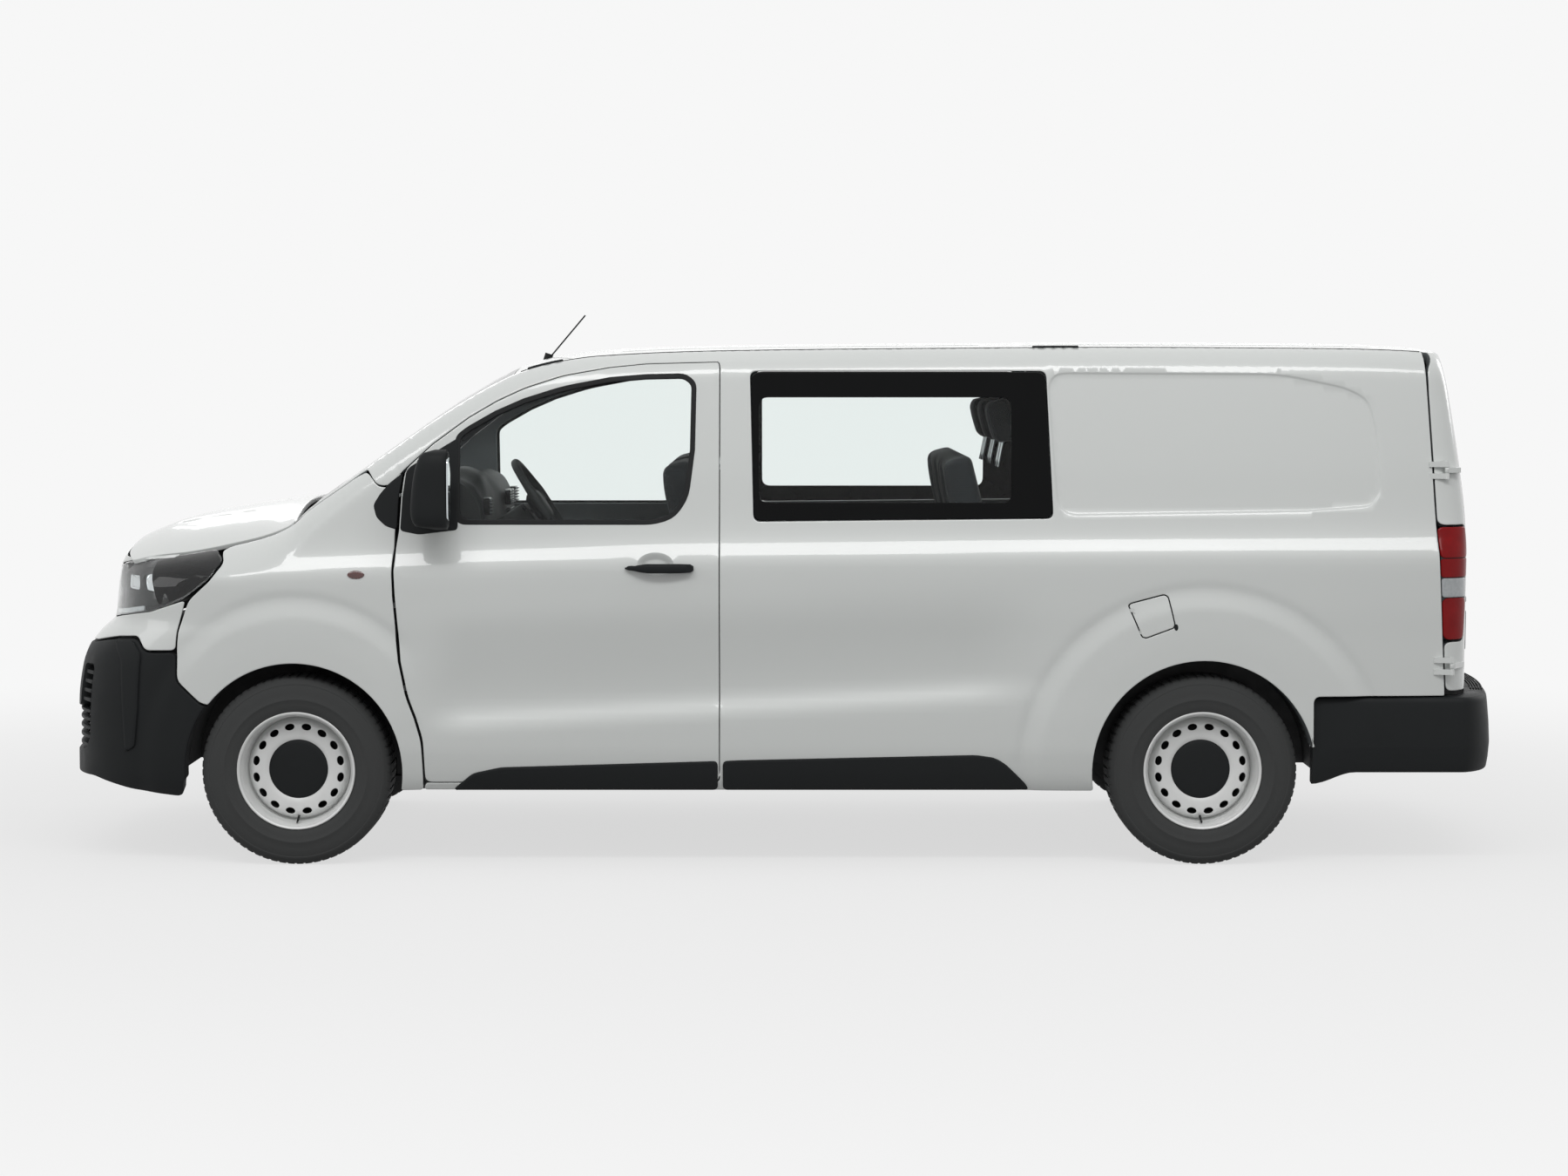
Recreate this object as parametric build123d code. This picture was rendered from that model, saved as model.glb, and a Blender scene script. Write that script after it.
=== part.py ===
"""A mid-size crew van: long wheelbase, two hinged front doors, one sliding door on the right, two
hinged rear doors, five seats and a load space behind a bulkhead.  Millimetres, +X forward, +Y to the
left, +Z up, with the origin on the ground below the middle of the bounding box.

The outer skin is described by a few functions: flank() gives half the width at (x, z), roof_height()
and bonnet_height() give heights at (x, y), nose_front() and tail_back() give the ends at (y, z).
Every panel is cut from slabs of those surfaces by the outlines of the real panels."""
from build123d import *
import math
import os

import numpy as np

# ---------------------------------------------------------------- driving dimensions
OVERALL_LENGTH = 5330.0
WHEELBASE = 3275.0
FRONT_OVERHANG = 902.0
BODY_HALF_WIDTH = 944.0          # widest plain part of the flank, without the wheel-arch flares
FLARE = 16.0                     # how far each wheel arch stands out of the flank
TYRE_RADIUS = 343.0
TYRE_WIDTH = 215.0
HALF_TRACK = 817.5
RIM_RADIUS = 203.0
SHUT_GAP = 6.0                   # gap round every door and lid
GLASS = 5.0
ROOF_THICKNESS = 38.0
BONNET_THICKNESS = 22.0
NOSE_WALL = 55.0                 # bumper, lamps and front panel, front to back
TAIL_WALL = 60.0                 # rear doors
FLOOR_TOP = 520.0
FLOOR_THICKNESS = 60.0
LOAD_FLOOR_TOP = 526.0           # the board that the load stands on
WALL_INNER = 838.0               # inner face of the lower walls and doors
ROOF_BAR_X = -800.0              # centre of the four holes that take roof bars
ROOF_BAR_PITCH_X = 1800.0
ROOF_BAR_PITCH_Y = 1280.0
ROOF_BAR_HOLE_RADIUS = 4.2
RUNNING_CLEARANCE = 0.06         # shafts in their bores
END_CLEARANCE = 0.3              # between stacked hinge knuckles

FRONT_X = OVERALL_LENGTH / 2
REAR_X = -OVERALL_LENGTH / 2
FRONT_AXLE_X = FRONT_X - FRONT_OVERHANG
REAR_AXLE_X = FRONT_AXLE_X - WHEELBASE
AXLE_Z = TYRE_RADIUS


# ---------------------------------------------------------------- small tools for the formulas
def smooth(low, high, value):
    """0 below low, 1 above high, and a smooth step between them."""
    share = np.clip((value - low) / (high - low), 0.0, 1.0)
    return share * share * (3.0 - 2.0 * share)


def through(points, value):
    """A smooth curve through (position, height) points that never overshoots between two of them."""
    xs = np.array([p[0] for p in points], float)
    ys = np.array([p[1] for p in points], float)
    step = np.diff(xs)
    slope = np.diff(ys) / step
    tangent = np.zeros(len(xs))
    tangent[0] = slope[0]
    tangent[-1] = slope[-1]
    for i in range(1, len(xs) - 1):
        if slope[i - 1] * slope[i] > 0:
            w1 = 2 * step[i] + step[i - 1]
            w2 = step[i] + 2 * step[i - 1]
            tangent[i] = (w1 + w2) / (w1 / slope[i - 1] + w2 / slope[i])
    v = np.clip(np.asarray(value, float), xs[0], xs[-1])
    i = np.clip(np.searchsorted(xs, v, side="right") - 1, 0, len(step) - 1)
    h = step[i]
    t = (v - xs[i]) / h
    return (
        (2 * t**3 - 3 * t**2 + 1) * ys[i]
        + (t**3 - 2 * t**2 + t) * h * tangent[i]
        + (3 * t**2 - 2 * t**3) * ys[i + 1]
        + (t**3 - t**2) * h * tangent[i + 1]
    )


def corner(depth, length, distance):
    """A quarter ellipse: 0 at distance >= length from the edge, depth at the edge itself."""
    share = np.clip(1.0 - distance / length, 0.0, 0.985)
    return depth * (1.0 - np.sqrt(1.0 - share * share))


# ---------------------------------------------------------------- the outer skin
# heights along the body, from the tail to the nose
ROOF_LINE = [(-2640, 1795), (-2480, 1852), (-2350, 1876), (-2000, 1888), (-1176, 1893), (-500, 1889),
             (235, 1881),
             (672, 1866), (800, 1852), (945, 1821), (1050, 1779), (1177, 1708), (1440, 1530), (1705, 1342),
             (1820, 1262)]
EDGE_LINE = [(-2640, 1770), (-2480, 1828), (-2350, 1852), (-2000, 1864), (-1176, 1869), (-500, 1865),
             (235, 1856),
             (672, 1837), (800, 1820), (945, 1784), (1050, 1737), (1177, 1664), (1440, 1486), (1600, 1372),
             (1728, 1283), (1790, 1228), (1860, 1195), (2047, 1147), (2313, 1095), (2450, 1048), (2600,
                     985),
             (2760, 925)]
BONNET_LINE = [(1280, 1650), (1500, 1490), (1600, 1402), (1700, 1332), (1786, 1306), (1871, 1298),
               (2023, 1275),
               (2259, 1231), (2400, 1180), (2445, 1157), (2560, 1085), (2740, 985)]
BELT_LINE = [(-2640, 1126), (-2360, 1125), (219, 1107), (1375, 1070), (2100, 1040), (2700, 1020)]
# half the body's width against height, with the belt at 1100
SECTION = [(180, -92), (215, -70), (262, -38), (310, -17), (370, -7), (430, -2), (520, -2), (640, -4),
           (800, -3),
           (920, 0), (1040, 0), (1092, -3), (1120, -14), (1160, -34), (1225, -54), (1420, -87), (1600,
                   -120),
           (1765, -152), (1900, -180)]
NOSE_LINE = [(180, 2560), (230, 2628), (308, 2665), (569, 2662), (700, 2645), (765, 2622), (830, 2572),
             (880, 2522), (960, 2512), (1065, 2498), (1110, 2478), (1160, 2440), (1230, 2360)]
TAIL_LINE = [(180, -2560), (600, -2562), (1100, -2564), (1250, -2556), (1450, -2532), (1650, -2500),
             (1780, -2474),
             (1840, -2455), (1900, -2425)]
PLAN_CURVE = 1.35e-4             # how fast both ends fall back from the middle


def flank(x, z):
    """Half the width of the body at (x, z), down from its top edge to the sill."""
    x = np.asarray(x, float)
    z = np.asarray(z, float)
    belt_shift = (through(BELT_LINE, x) - 1100.0) * smooth(640, 1020, z)
    width = BODY_HALF_WIDTH + through(SECTION, z - belt_shift)
    # the scooped swage low on the doors, rising towards the rear
    crest = 487.0 + (1240.0 - x) * 0.0535
    present = smooth(-1010, -640, x) * (1.0 - smooth(1130, 1330, x))
    width = width - 24.0 * present * smooth(-6, 92, z - crest) * (1.0 - smooth(70, 480, z - crest))
    # wheel-arch flares
    front_reach = np.hypot((x - FRONT_AXLE_X) / 0.93, z - AXLE_Z)
    rear_reach = np.hypot((x - REAR_AXLE_X) / 1.0, z - AXLE_Z)
    width = width + FLARE * (1.0 - smooth(505, 640, front_reach))
    width = width + (FLARE + 2.0) * (1.0 - smooth(535, 690, rear_reach))
    # the body narrows towards both ends
    width = width - 58.0 * (np.clip(x - 1350.0, 0, None) / 1100.0) ** 2.2
    width = width - 24.0 * (np.clip(-1900.0 - x, 0, None) / 500.0) ** 2
    # rounded off into the roof, the screen pillar or the bonnet
    depth = 75.0 + 75.0 * smooth(1500, 1950, x)
    length = 95.0 + 35.0 * smooth(1500, 1950, x)
    return width - corner(depth, length, through(EDGE_LINE, x) - z)


def edge_half_width(x):
    """Half the width at the top edge, where the flank meets the roof, the screen or the bonnet."""
    return flank(x, through(EDGE_LINE, x))


def roof_height(x, y):
    """Height of the windscreen and the roof."""
    crown = through(ROOF_LINE, x) - through(EDGE_LINE, x)
    return through(ROOF_LINE, x) - crown * (np.abs(y) / edge_half_width(x)) ** 2


def bonnet_height(x, y):
    drop = through(BONNET_LINE, x) - through(EDGE_LINE, x)
    return through(BONNET_LINE, x) - drop * (np.abs(y) / edge_half_width(x)) ** 2.6


def nose_front(y, z):
    across = np.abs(y)
    return through(NOSE_LINE, z) - PLAN_CURVE * across**2 - corner(300.0, 430.0, 930.0 - across)


def tail_back(y, z):
    across = np.abs(y)
    return through(TAIL_LINE, z) + PLAN_CURVE * across**2 + corner(80.0, 130.0, 945.0 - across)


# ---------------------------------------------------------------- solids from the surfaces
def surface(rows):
    return Face.make_surface_from_array_of_points(rows, tol=1.0, min_deg=3, max_deg=3)


def flank_block(stations, bottom):
    """The left half of the body between the stations, from the flank to a little past y = 0."""
    rows = []
    for x in stations:
        top = float(through(EDGE_LINE, x)) + 8.0
        heights = [bottom + (top - bottom) * k / 39.0 for k in range(40)]
        rows.append([(x, float(flank(x, z)), z) for z in heights])
    return Solid.extrude(surface(rows), Vector(0, -1040, 0))


def under(height, x_values, half_width, drop):
    """The block below a top surface; it reaches over the whole width."""
    rows = [[(x, half_width * k / 12.0, float(height(x, half_width * k / 12.0))) for k in range(-12, 13)]
            for x in x_values]
    return Solid.extrude(surface(rows), Vector(0, 0, -drop))


def flank_layer(x_values, low, depth, thickness):
    """A layer that follows the flank above low, depth inside it."""
    rows = []
    for x in x_values:
        top = float(through(EDGE_LINE, x)) - 20.0
        rows.append([(x, float(flank(x, low + (top - low) * k / 14.0)) - depth,
                      low + (top - low) * k / 14.0)
                     for k in range(15)])
    return Solid.extrude(surface(rows), Vector(0, -thickness, 0))


def behind(front, z_values, half_width, depth):
    """The block behind a nose surface, or ahead of a tail surface when depth is negative."""
    rows = [[(float(front(half_width * k / 20.0, z)), half_width * k / 20.0, z) for k in range(-20, 21)]
            for z in z_values]
    return Solid.extrude(surface(rows), Vector(-depth, 0, 0))


def prism_y(points, low, high):
    """The outline of (x, z) points, through from y = low to y = high."""
    wire = Wire(Polyline(*[(x, low, z) for x, z in points], close=True).edges())
    return Solid.extrude(Face(wire), Vector(0, high - low, 0))


def prism_z(points, low, high):
    """The outline of (x, y) points, through from z = low to z = high."""
    wire = Wire(Polyline(*[(x, y, low) for x, y in points], close=True).edges())
    return Solid.extrude(Face(wire), Vector(0, 0, high - low))


def prism_x(points, low, high):
    """The outline of (y, z) points, through from x = low to x = high."""
    wire = Wire(Polyline(*[(low, y, z) for y, z in points], close=True).edges())
    return Solid.extrude(Face(wire), Vector(high - low, 0, 0))


def block(x0, x1, y0, y1, z0, z1):
    return Pos(min(x0, x1), min(y0, y1), min(z0, z1)) * Solid.make_box(abs(x1 - x0), abs(y1 - y0),
            abs(z1 - z0))


def rod(start, end, radius):
    a, b = Vector(*start), Vector(*end)
    return Solid.make_cylinder(radius, (b - a).length, Plane(origin=a, z_dir=(b - a).normalized()))


def solids(shape):
    return list(shape.solids())


def main_solid(shape):
    return max(shape.solids(), key=lambda piece: piece.volume)


def fused(*shapes):
    """The union of pieces that overlap."""
    first = shapes[0]
    for other in shapes[1:]:
        first = first + other
    return first


def join(*shapes):
    """The union of touching pieces; each step has to keep the whole of the larger piece."""
    result = shapes[0]
    for piece in shapes[1:]:
        whole = result.volume
        for nudge in (0.0, 0.011, -0.017, 0.023):
            trial = result + (piece if nudge == 0.0 else Pos(nudge, nudge / 2, -nudge) * piece)
            if trial is not None and trial.volume >= 0.9999 * whole and len(trial.solids()) == 1:
                break
        if trial is None or trial.volume < 0.9999 * whole:
            raise ValueError("a piece was lost in a union")
        result = trial
    return result


def mirrored(shape):
    return shape.mirror(Plane.XZ)


def moved(shape, x=0.0, y=0.0, z=0.0):
    return Pos(x, y, z) * shape


def shrunk(points, gap):
    """The outline moved inwards by gap (outwards when gap is negative)."""
    area = sum(a[0] * b[1] - b[0] * a[1] for a, b in zip(points, points[1:] + points[:1]))
    sign = 1.0 if area > 0 else -1.0
    result = []
    count = len(points)
    for i in range(count):
        (ax, ay), (bx, by), (cx, cy) = points[i - 1], points[i], points[(i + 1) % count]
        d1 = math.hypot(bx - ax, by - ay)
        d2 = math.hypot(cx - bx, cy - by)
        n1 = (-(by - ay) / d1 * sign, (bx - ax) / d1 * sign)
        n2 = (-(cy - by) / d2 * sign, (cx - bx) / d2 * sign)
        k = 1.0 + n1[0] * n2[0] + n1[1] * n2[1]
        result.append((bx + (n1[0] + n2[0]) / k * gap, by + (n1[1] + n2[1]) / k * gap))
    return result


# ---------------------------------------------------------------- outlines in side view, (x, z)
DOOR_OUTLINE = [(1297, 300), (1304, 457), (1328, 540), (1356, 615), (1381, 740), (1392, 866), (1402, 980),
                (1406, 1069), (1400, 1150), (1391, 1210), (1384, 1330), (1371, 1430), (1270, 1523), (1142,
                        1618),
                (1040, 1678), (939, 1725), (800, 1770), (630, 1800), (500, 1813), (235, 1820), (231, 1800),
                (231, 300)]
DOOR_WINDOW = [(1180, 1240), (1180, 1546), (1142, 1576), (1040, 1634), (939, 1678), (800, 1722),
               (630, 1754), (500, 1765), (360, 1768), (325, 1740), (330, 1500), (352, 1330), (400, 1262),
               (470, 1240)]
CREW_WINDOW = [(125, 1250), (95, 1285), (105, 1750), (140, 1778), (-945, 1778), (-968, 1255)]
SLIDING_OUTLINE = [(219, 330), (219, 1810), (-985, 1810), (-1000, 1700), (-1020, 1200), (-1020, 760),
                   (-1060, 700), (-1060, 620), (-1020, 560), (-960, 480), (-950, 330)]
REAR_SHUT = [(-2324, 1849), (-2330, 1720), (-2352, 1250), (-2372, 830), (-2382, 629)]
HEADLAMP_OUTLINE = [(2800, 881), (2460, 881), (2340, 905), (2165, 966), (2070, 1040), (2028, 1094),
                    (2060, 1125),
                    (2119, 1149), (2320, 1101), (2464, 1066), (2800, 1066)]
BUMPER_OUTLINE = [(2800, 881), (2460, 881), (2330, 800), (2235, 748), (2150, 690), (2090, 590), (2060, 500),
                  (2060, 210), (2800, 210)]
FUEL_OUTLINE = [(-1236, 944), (-1246, 953), (-1366, 985), (-1382, 977), (-1406, 875), (-1400, 862),
                (-1300, 825),
                (-1284, 830)]
SCREEN_TOP_X = 985.0
SCREEN_BASE_X = 1712.0
BONNET_REAR_X = 1786.0
SILL_Z = 272.0
ROOF_SPLIT = 700.0

# ---------------------------------------------------------------- blocks that the panels are cut from
body_stations = [-2640 + (1790 + 2640) * k / 59.0 for k in range(60)]
front_stations = [1290 + (2725 - 1290) * k / 49.0 for k in range(50)]
body_flank = flank_block(body_stations, SILL_Z)
front_flank = flank_block(front_stations, 225.0)
roof_block = under(roof_height, [-2640 + (1800 + 2640) * k / 44.0 for k in range(45)], 1000.0, 1700.0)
bonnet_block = under(bonnet_height, [1285 + (2725 - 1285) * k / 54.0 for k in range(55)], 1000.0, 1300.0)
nose_block = behind(nose_front, [200 + (1330 - 200) * k / 24.0 for k in range(25)], 980.0, 1500.0)
tail_block = behind(tail_back, [200 + (1900 - 200) * k / 20.0 for k in range(21)], 980.0, -400.0)
tail_block = tail_block + block(-2300, 1500, -1000, 1000, 200, 1950)

outer = body_flank & roof_block
cabin_shape = prism_x([(-600, 0), (790, 0), (790, FLOOR_TOP), (WALL_INNER, FLOOR_TOP), (WALL_INNER, 1150),
                       (745, 1830),
                       (700, 1850), (-600, 1850)], -2460, 1420)
inner = moved(body_flank, y=-48) & cabin_shape & moved(roof_block, z=-ROOF_THICKNESS)
wall = outer - inner

# circles cut out for the wheels
FRONT_ARCH_X = FRONT_AXLE_X + 4.0
FRONT_ARCH_RADIUS = 390.0
REAR_ARCH_RADIUS = 402.0
FRONT_HOUSE_RADIUS = 412.0
HOUSE_THICKNESS = 6.0
OUTSIDE_Y = BODY_HALF_WIDTH + 156.0
FLAP_POCKET_Y = BODY_HALF_WIDTH - 64.0
front_arch = rod((FRONT_ARCH_X, 480, AXLE_Z), (FRONT_ARCH_X, OUTSIDE_Y, AXLE_Z), FRONT_ARCH_RADIUS)
rear_arch = rod((REAR_AXLE_X, 600, AXLE_Z), (REAR_AXLE_X, OUTSIDE_Y, AXLE_Z), REAR_ARCH_RADIUS)
screen_outline = [(SCREEN_TOP_X, -668), (SCREEN_TOP_X, 668), (1200, 700), (1500, 738), (SCREEN_BASE_X, 744),
                  (SCREEN_BASE_X, -744), (1500, -738), (1200, -700)]
screen_column = prism_z(screen_outline, 900, 2100)
roof_column = block(-2700, SCREEN_TOP_X, -ROOF_SPLIT, ROOF_SPLIT, 1500, 2100)

rear_line = [(-2900, 1980)] + REAR_SHUT + [(-2382, 622), (-2900, 622)]
ahead_of_rear_doors = prism_y([(3000, 1980)] + REAR_SHUT + [(-2382, 615), (-2382, 200), (3000, 200)],
                              -OUTSIDE_Y, OUTSIDE_Y)
rear_door_zone = prism_y([(-2900, 1980)] + [(x - SHUT_GAP, z) for x, z in REAR_SHUT] + [(-2900, 629)], 3,
                         OUTSIDE_Y)

# the axis of each rear door leans in with the side of the body
REAR_HINGE_LOW = (-2404.0, 936.0, 724.0)
REAR_HINGE_HIGH = (-2394.0, 852.0, 1427.0)


def rear_axis_point(z):
    share = (z - REAR_HINGE_LOW[2]) / (REAR_HINGE_HIGH[2] - REAR_HINGE_LOW[2])
    return tuple(a + (b - a) * share for a, b in zip(REAR_HINGE_LOW, REAR_HINGE_HIGH))


LAMP_LOW, LAMP_HIGH, LAMP_REACH = 817.0, 1224.0, 97.0
lamp_column = rod(rear_axis_point(LAMP_LOW), rear_axis_point(LAMP_HIGH), LAMP_REACH)
lamp_notch = rod(rear_axis_point(LAMP_LOW - 7), rear_axis_point(LAMP_HIGH + 7), LAMP_REACH + SHUT_GAP)

# ---------------------------------------------------------------- shell panels
body_wall = wall & ahead_of_rear_doors
body_wall = body_wall - rear_arch - rod((REAR_AXLE_X, 600, AXLE_Z), (REAR_AXLE_X, WALL_INNER, AXLE_Z),
                                       REAR_ARCH_RADIUS + HOUSE_THICKNESS)
WING_EDGE = [(1400, 1232), (1397, 1150), (1409, 1069), (1405, 980), (1397, 866), (1386, 740), (1361, 615),
             (1333, 540),
             (1309, 457), (1302, 300), (1302, 200)]
side = body_wall - screen_column - roof_column - prism_y(WING_EDGE + [(1900, 200), (1900, 1320),
        (1560, 1320)], -500, OUTSIDE_Y)
side = side & block(-2700, 2000, 690, OUTSIDE_Y, 200, 1950)
side = side - prism_y([(-1905, 200), (-1905, 612), (-2500, 612), (-2500, 200)], -1, OUTSIDE_Y)
door_hole = prism_y(DOOR_OUTLINE, 500, OUTSIDE_Y)
door_shape = prism_y(shrunk(DOOR_OUTLINE, SHUT_GAP), 500, OUTSIDE_Y)
window_hole = prism_y(DOOR_WINDOW, 500, OUTSIDE_Y)
crew_hole = prism_y(CREW_WINDOW, 500, OUTSIDE_Y)
slide_hole = prism_y(SLIDING_OUTLINE, 500, OUTSIDE_Y)
slide_shape = prism_y(shrunk(SLIDING_OUTLINE, SHUT_GAP), 500, OUTSIDE_Y)
glass_band = flank_layer([-1050 + (1400 + 1050) * k / 20.0 for k in range(21)], 1205.0, 7.0, GLASS)

side = side - door_hole - block(1290, 1500, 690, OUTSIDE_Y, 301, 1208)
# the post that carries the front door's hinges, behind the wing
POST_OUTER = 860.0
post = prism_y([(1405, 1231)] + [(x + 1, z) for x, z in WING_EDGE[1:-1]] + [(1303, 272), (1390, 272),
        (1390, 440),
               (1470, 600), (1560, 720), (1450, 800), (1450, 1231)], 800, POST_OUTER)
post = main_solid(post - rod((FRONT_ARCH_X, 480, AXLE_Z), (FRONT_ARCH_X, OUTSIDE_Y, AXLE_Z),
                             FRONT_HOUSE_RADIUS + 3))
side = main_solid(side)
left_wall = side - crew_hole

# the pocket behind the fuel flap, with the filler neck
flap_hole = prism_y(FUEL_OUTLINE, FLAP_POCKET_Y, OUTSIDE_Y)
flap = flank_layer([-1450 + 260 * k / 10.0 for k in range(11)], 780.0, 0.0, 5.0) & prism_y(
    shrunk(FUEL_OUTLINE, 5.0), FLAP_POCKET_Y, OUTSIDE_Y)
left_wall = left_wall - flap_hole
neck = rod((-1325, FLAP_POCKET_Y - 20, 905), (-1325, FLAP_POCKET_Y + 35, 905), 32)
left_wall = join(left_wall, neck)
FLAP_AXIS_LOW = (-1290.0, float(flank(-1290, 838)) - 3.5, 838.0)
FLAP_AXIS_HIGH = (-1251.0, float(flank(-1251, 936)) - 3.5, 936.0)


def between(a, b, share):
    return tuple(p + (q - p) * share for p, q in zip(a, b))


flap_ends = ((0.0, 0.2), (0.8, 1.0))
flap_lugs = []
for start, end in flap_ends:
    flap = flap - rod(between(FLAP_AXIS_LOW, FLAP_AXIS_HIGH, start - 0.12 if start == 0 else start - 0.003),
                      between(FLAP_AXIS_LOW, FLAP_AXIS_HIGH, end + 0.003 if start == 0 else end + 0.12),
                      8.5)
flap = main_solid(flap + rod(between(FLAP_AXIS_LOW, FLAP_AXIS_HIGH, 0.204),
                             between(FLAP_AXIS_LOW, FLAP_AXIS_HIGH, 0.796), 3.5))
for start, end in flap_ends:
    low, high = between(FLAP_AXIS_LOW, FLAP_AXIS_HIGH, start), between(FLAP_AXIS_LOW, FLAP_AXIS_HIGH, end)
    flap_lugs.append((rod(low, high, 3.5) + prism_z([
        (low[0] + 1, low[1] + 1.5), (low[0] + 2, low[1] - 3), (low[0] + 26, low[1] - 16), (low[0] + 30,
                low[1] - 12),
        (low[0] + 6, low[1] + 1.5)], low[2] + 4, high[2] - 4)) - left_wall)

sliding = mirrored(((outer - inner) & slide_shape) - crew_hole)

roof_stations = [-2640 + (1800 + 2640) * k / 44.0 for k in range(45)]
roof = under(roof_height, roof_stations, 1000.0, ROOF_THICKNESS) & roof_column & ahead_of_rear_doors
for x in (ROOF_BAR_X - ROOF_BAR_PITCH_X / 2, ROOF_BAR_X + ROOF_BAR_PITCH_X / 2):
    for y in (-ROOF_BAR_PITCH_Y / 2, ROOF_BAR_PITCH_Y / 2):
        roof = roof - rod((x, y, 1700), (x, y, 2000), ROOF_BAR_HOLE_RADIUS)
screen = under(roof_height, roof_stations, 1000.0, 8.0) & screen_column
front_door = ((outer - inner) & door_shape) - window_hole
door_glass = glass_band & window_hole & block(-500, 1500, 500, OUTSIDE_Y, 1200, 1800)
crew_glass = glass_band & crew_hole

rear_shell = outer & rear_door_zone & tail_block
rear_hollow = moved(body_flank, y=-45) & block(-2700, -2200, -1, OUTSIDE_Y, 400, 1900) & moved(roof_block,
        z=-42)
rear_hollow = rear_hollow & moved(tail_block, x=TAIL_WALL)
rear_door = rear_shell - rear_hollow - lamp_notch

# ---------------------------------------------------------------- nose: wings, bumper, lamps, front panel
front_outer = front_flank & nose_block & bonnet_block
front_inner = moved(front_flank, y=-8) & moved(nose_block, x=-NOSE_WALL) & moved(bonnet_block,
        z=-BONNET_THICKNESS - 6)
front_shell = (front_outer - front_inner) & block(1200, 2800, -1, OUTSIDE_Y, 225, 1500)
front_shell = front_shell - front_arch
bonnet_sides = [(x, float(edge_half_width(x)) - 8) for x in (1786, 1850, 1950, 2050, 2150, 2250, 2330,
        2385)]
bonnet_outline = [(BONNET_REAR_X, y) for y in (-600, 600)] + bonnet_sides + [
    (2452 - PLAN_CURVE * y * y, y) for y in range(650, -651, -130)] + [(x, -y) for x,
            y in reversed(bonnet_sides)]
bonnet_hole = prism_z([(x, y) for x, y in shrunk(bonnet_outline, -SHUT_GAP)], 1000, 1500)
bonnet = under(bonnet_height, [1700 + (2640 - 1700) * k / 39.0 for k in range(40)], 1000.0,
               BONNET_THICKNESS)
bonnet = bonnet & prism_z(bonnet_outline, 900, 1500)
front_shell = front_shell - bonnet_hole
LAMP_TO_WING = [(2340, 905), (2165, 966), (2070, 1040), (2028, 1094), (2060, 1125), (2119, 1149), (2320, 1101)]
wing_zone = prism_y(WING_EDGE[:-1] + [(1302, 272), (1500, 225)] + BUMPER_OUTLINE[1:-1][::-1] + LAMP_TO_WING
                    + [(2400, 1320), (1560, 1320)], 480, OUTSIDE_Y)
wing = (front_shell & wing_zone) - block(1200, BONNET_REAR_X, -1, 750, 200, 1600)
bumper = front_shell & prism_y(BUMPER_OUTLINE, -1, OUTSIDE_Y)
lamp = front_shell & prism_y(HEADLAMP_OUTLINE, 480, OUTSIDE_Y)
nose_layer = behind(nose_front, [840 + (1300 - 840) * k / 15.0 for k in range(16)], 980.0, NOSE_WALL)
panel = nose_layer & bonnet_block & block(2200, 2800, -700, 700, 881, 1290)
for keep_out in (prism_y(HEADLAMP_OUTLINE, 480, OUTSIDE_Y), prism_y(HEADLAMP_OUTLINE, -OUTSIDE_Y, -480),
                 wing_zone,
                 mirrored(wing_zone), bonnet_hole):
    panel = panel - keep_out


# ---------------------------------------------------------------- floor, bulkheads and wheel houses
def wheel_house(x, inner_y, outer_y, radius, thickness):
    tube = rod((x, inner_y, AXLE_Z), (x, outer_y, AXLE_Z), radius + thickness) - rod(
        (x, inner_y + thickness, AXLE_Z), (x, outer_y + 5, AXLE_Z), radius)
    return tube & block(x - 600, x + 600, 0, OUTSIDE_Y, AXLE_Z, 1000)


def both_sides(shape):
    return [shape, mirrored(shape)]


def cut_wheel_wells(shape):
    for x, inner_y, radius in ((FRONT_ARCH_X, 491, FRONT_HOUSE_RADIUS + 5),
                               (REAR_AXLE_X, 656, REAR_ARCH_RADIUS + 5)):
        for sign in (1, -1):
            shape = shape - rod((x, sign * inner_y, AXLE_Z), (x, sign * 1000, AXLE_Z), radius)
    return shape


floor = block(-2376, 1344, -790, 790, FLOOR_TOP - FLOOR_THICKNESS, FLOOR_TOP)
floor = floor + block(-2326, -1018, -640, 640, FLOOR_TOP - 5, LOAD_FLOOR_TOP)
firewall = prism_y([(1334, FLOOR_TOP - 60), (1344, FLOOR_TOP - 60), (1344, 1000), (1700, 1165),
                    (1700, 1175),
                    (1334, 1006)], -820, 820)
rear_sill = block(-2376, -2330, -790, 790, FLOOR_TOP, 612)
rails = [block(-2330, -200, y, y + 60, 400, FLOOR_TOP - FLOOR_THICKNESS) for y in (-560, 500)]
underbody = cut_wheel_wells(floor + firewall + rear_sill + rails[0] + rails[1])
front_house = wheel_house(FRONT_ARCH_X, 490, 893, FRONT_HOUSE_RADIUS, HOUSE_THICKNESS)
rear_house = wheel_house(REAR_AXLE_X, 655, WALL_INNER, REAR_ARCH_RADIUS, HOUSE_THICKNESS)
for house in (front_house, rear_house):
    for copy in both_sides(house):
        underbody = underbody + copy
for x, z_low, z_high, inner_y, outer_y in ((FRONT_AXLE_X, 420, 456, 480, 510),
                                           (REAR_AXLE_X, 280, 398, 650, 670)):
    for sign in (1, -1):
        underbody = underbody - block(x - 55, x + 55, sign * inner_y, sign * outer_y, z_low, z_high)
underbody = join(underbody, post, mirrored(post))
scuttle = prism_y([(1700, 1165), (1860, 1150), (1860, 1166), (1722, 1181), (1722, 1345), (1712, 1345),
                   (1712, 1176),
                   (1700, 1176)], -742, 742)
scuttle = scuttle & moved(roof_block, z=-1.5)
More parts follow.
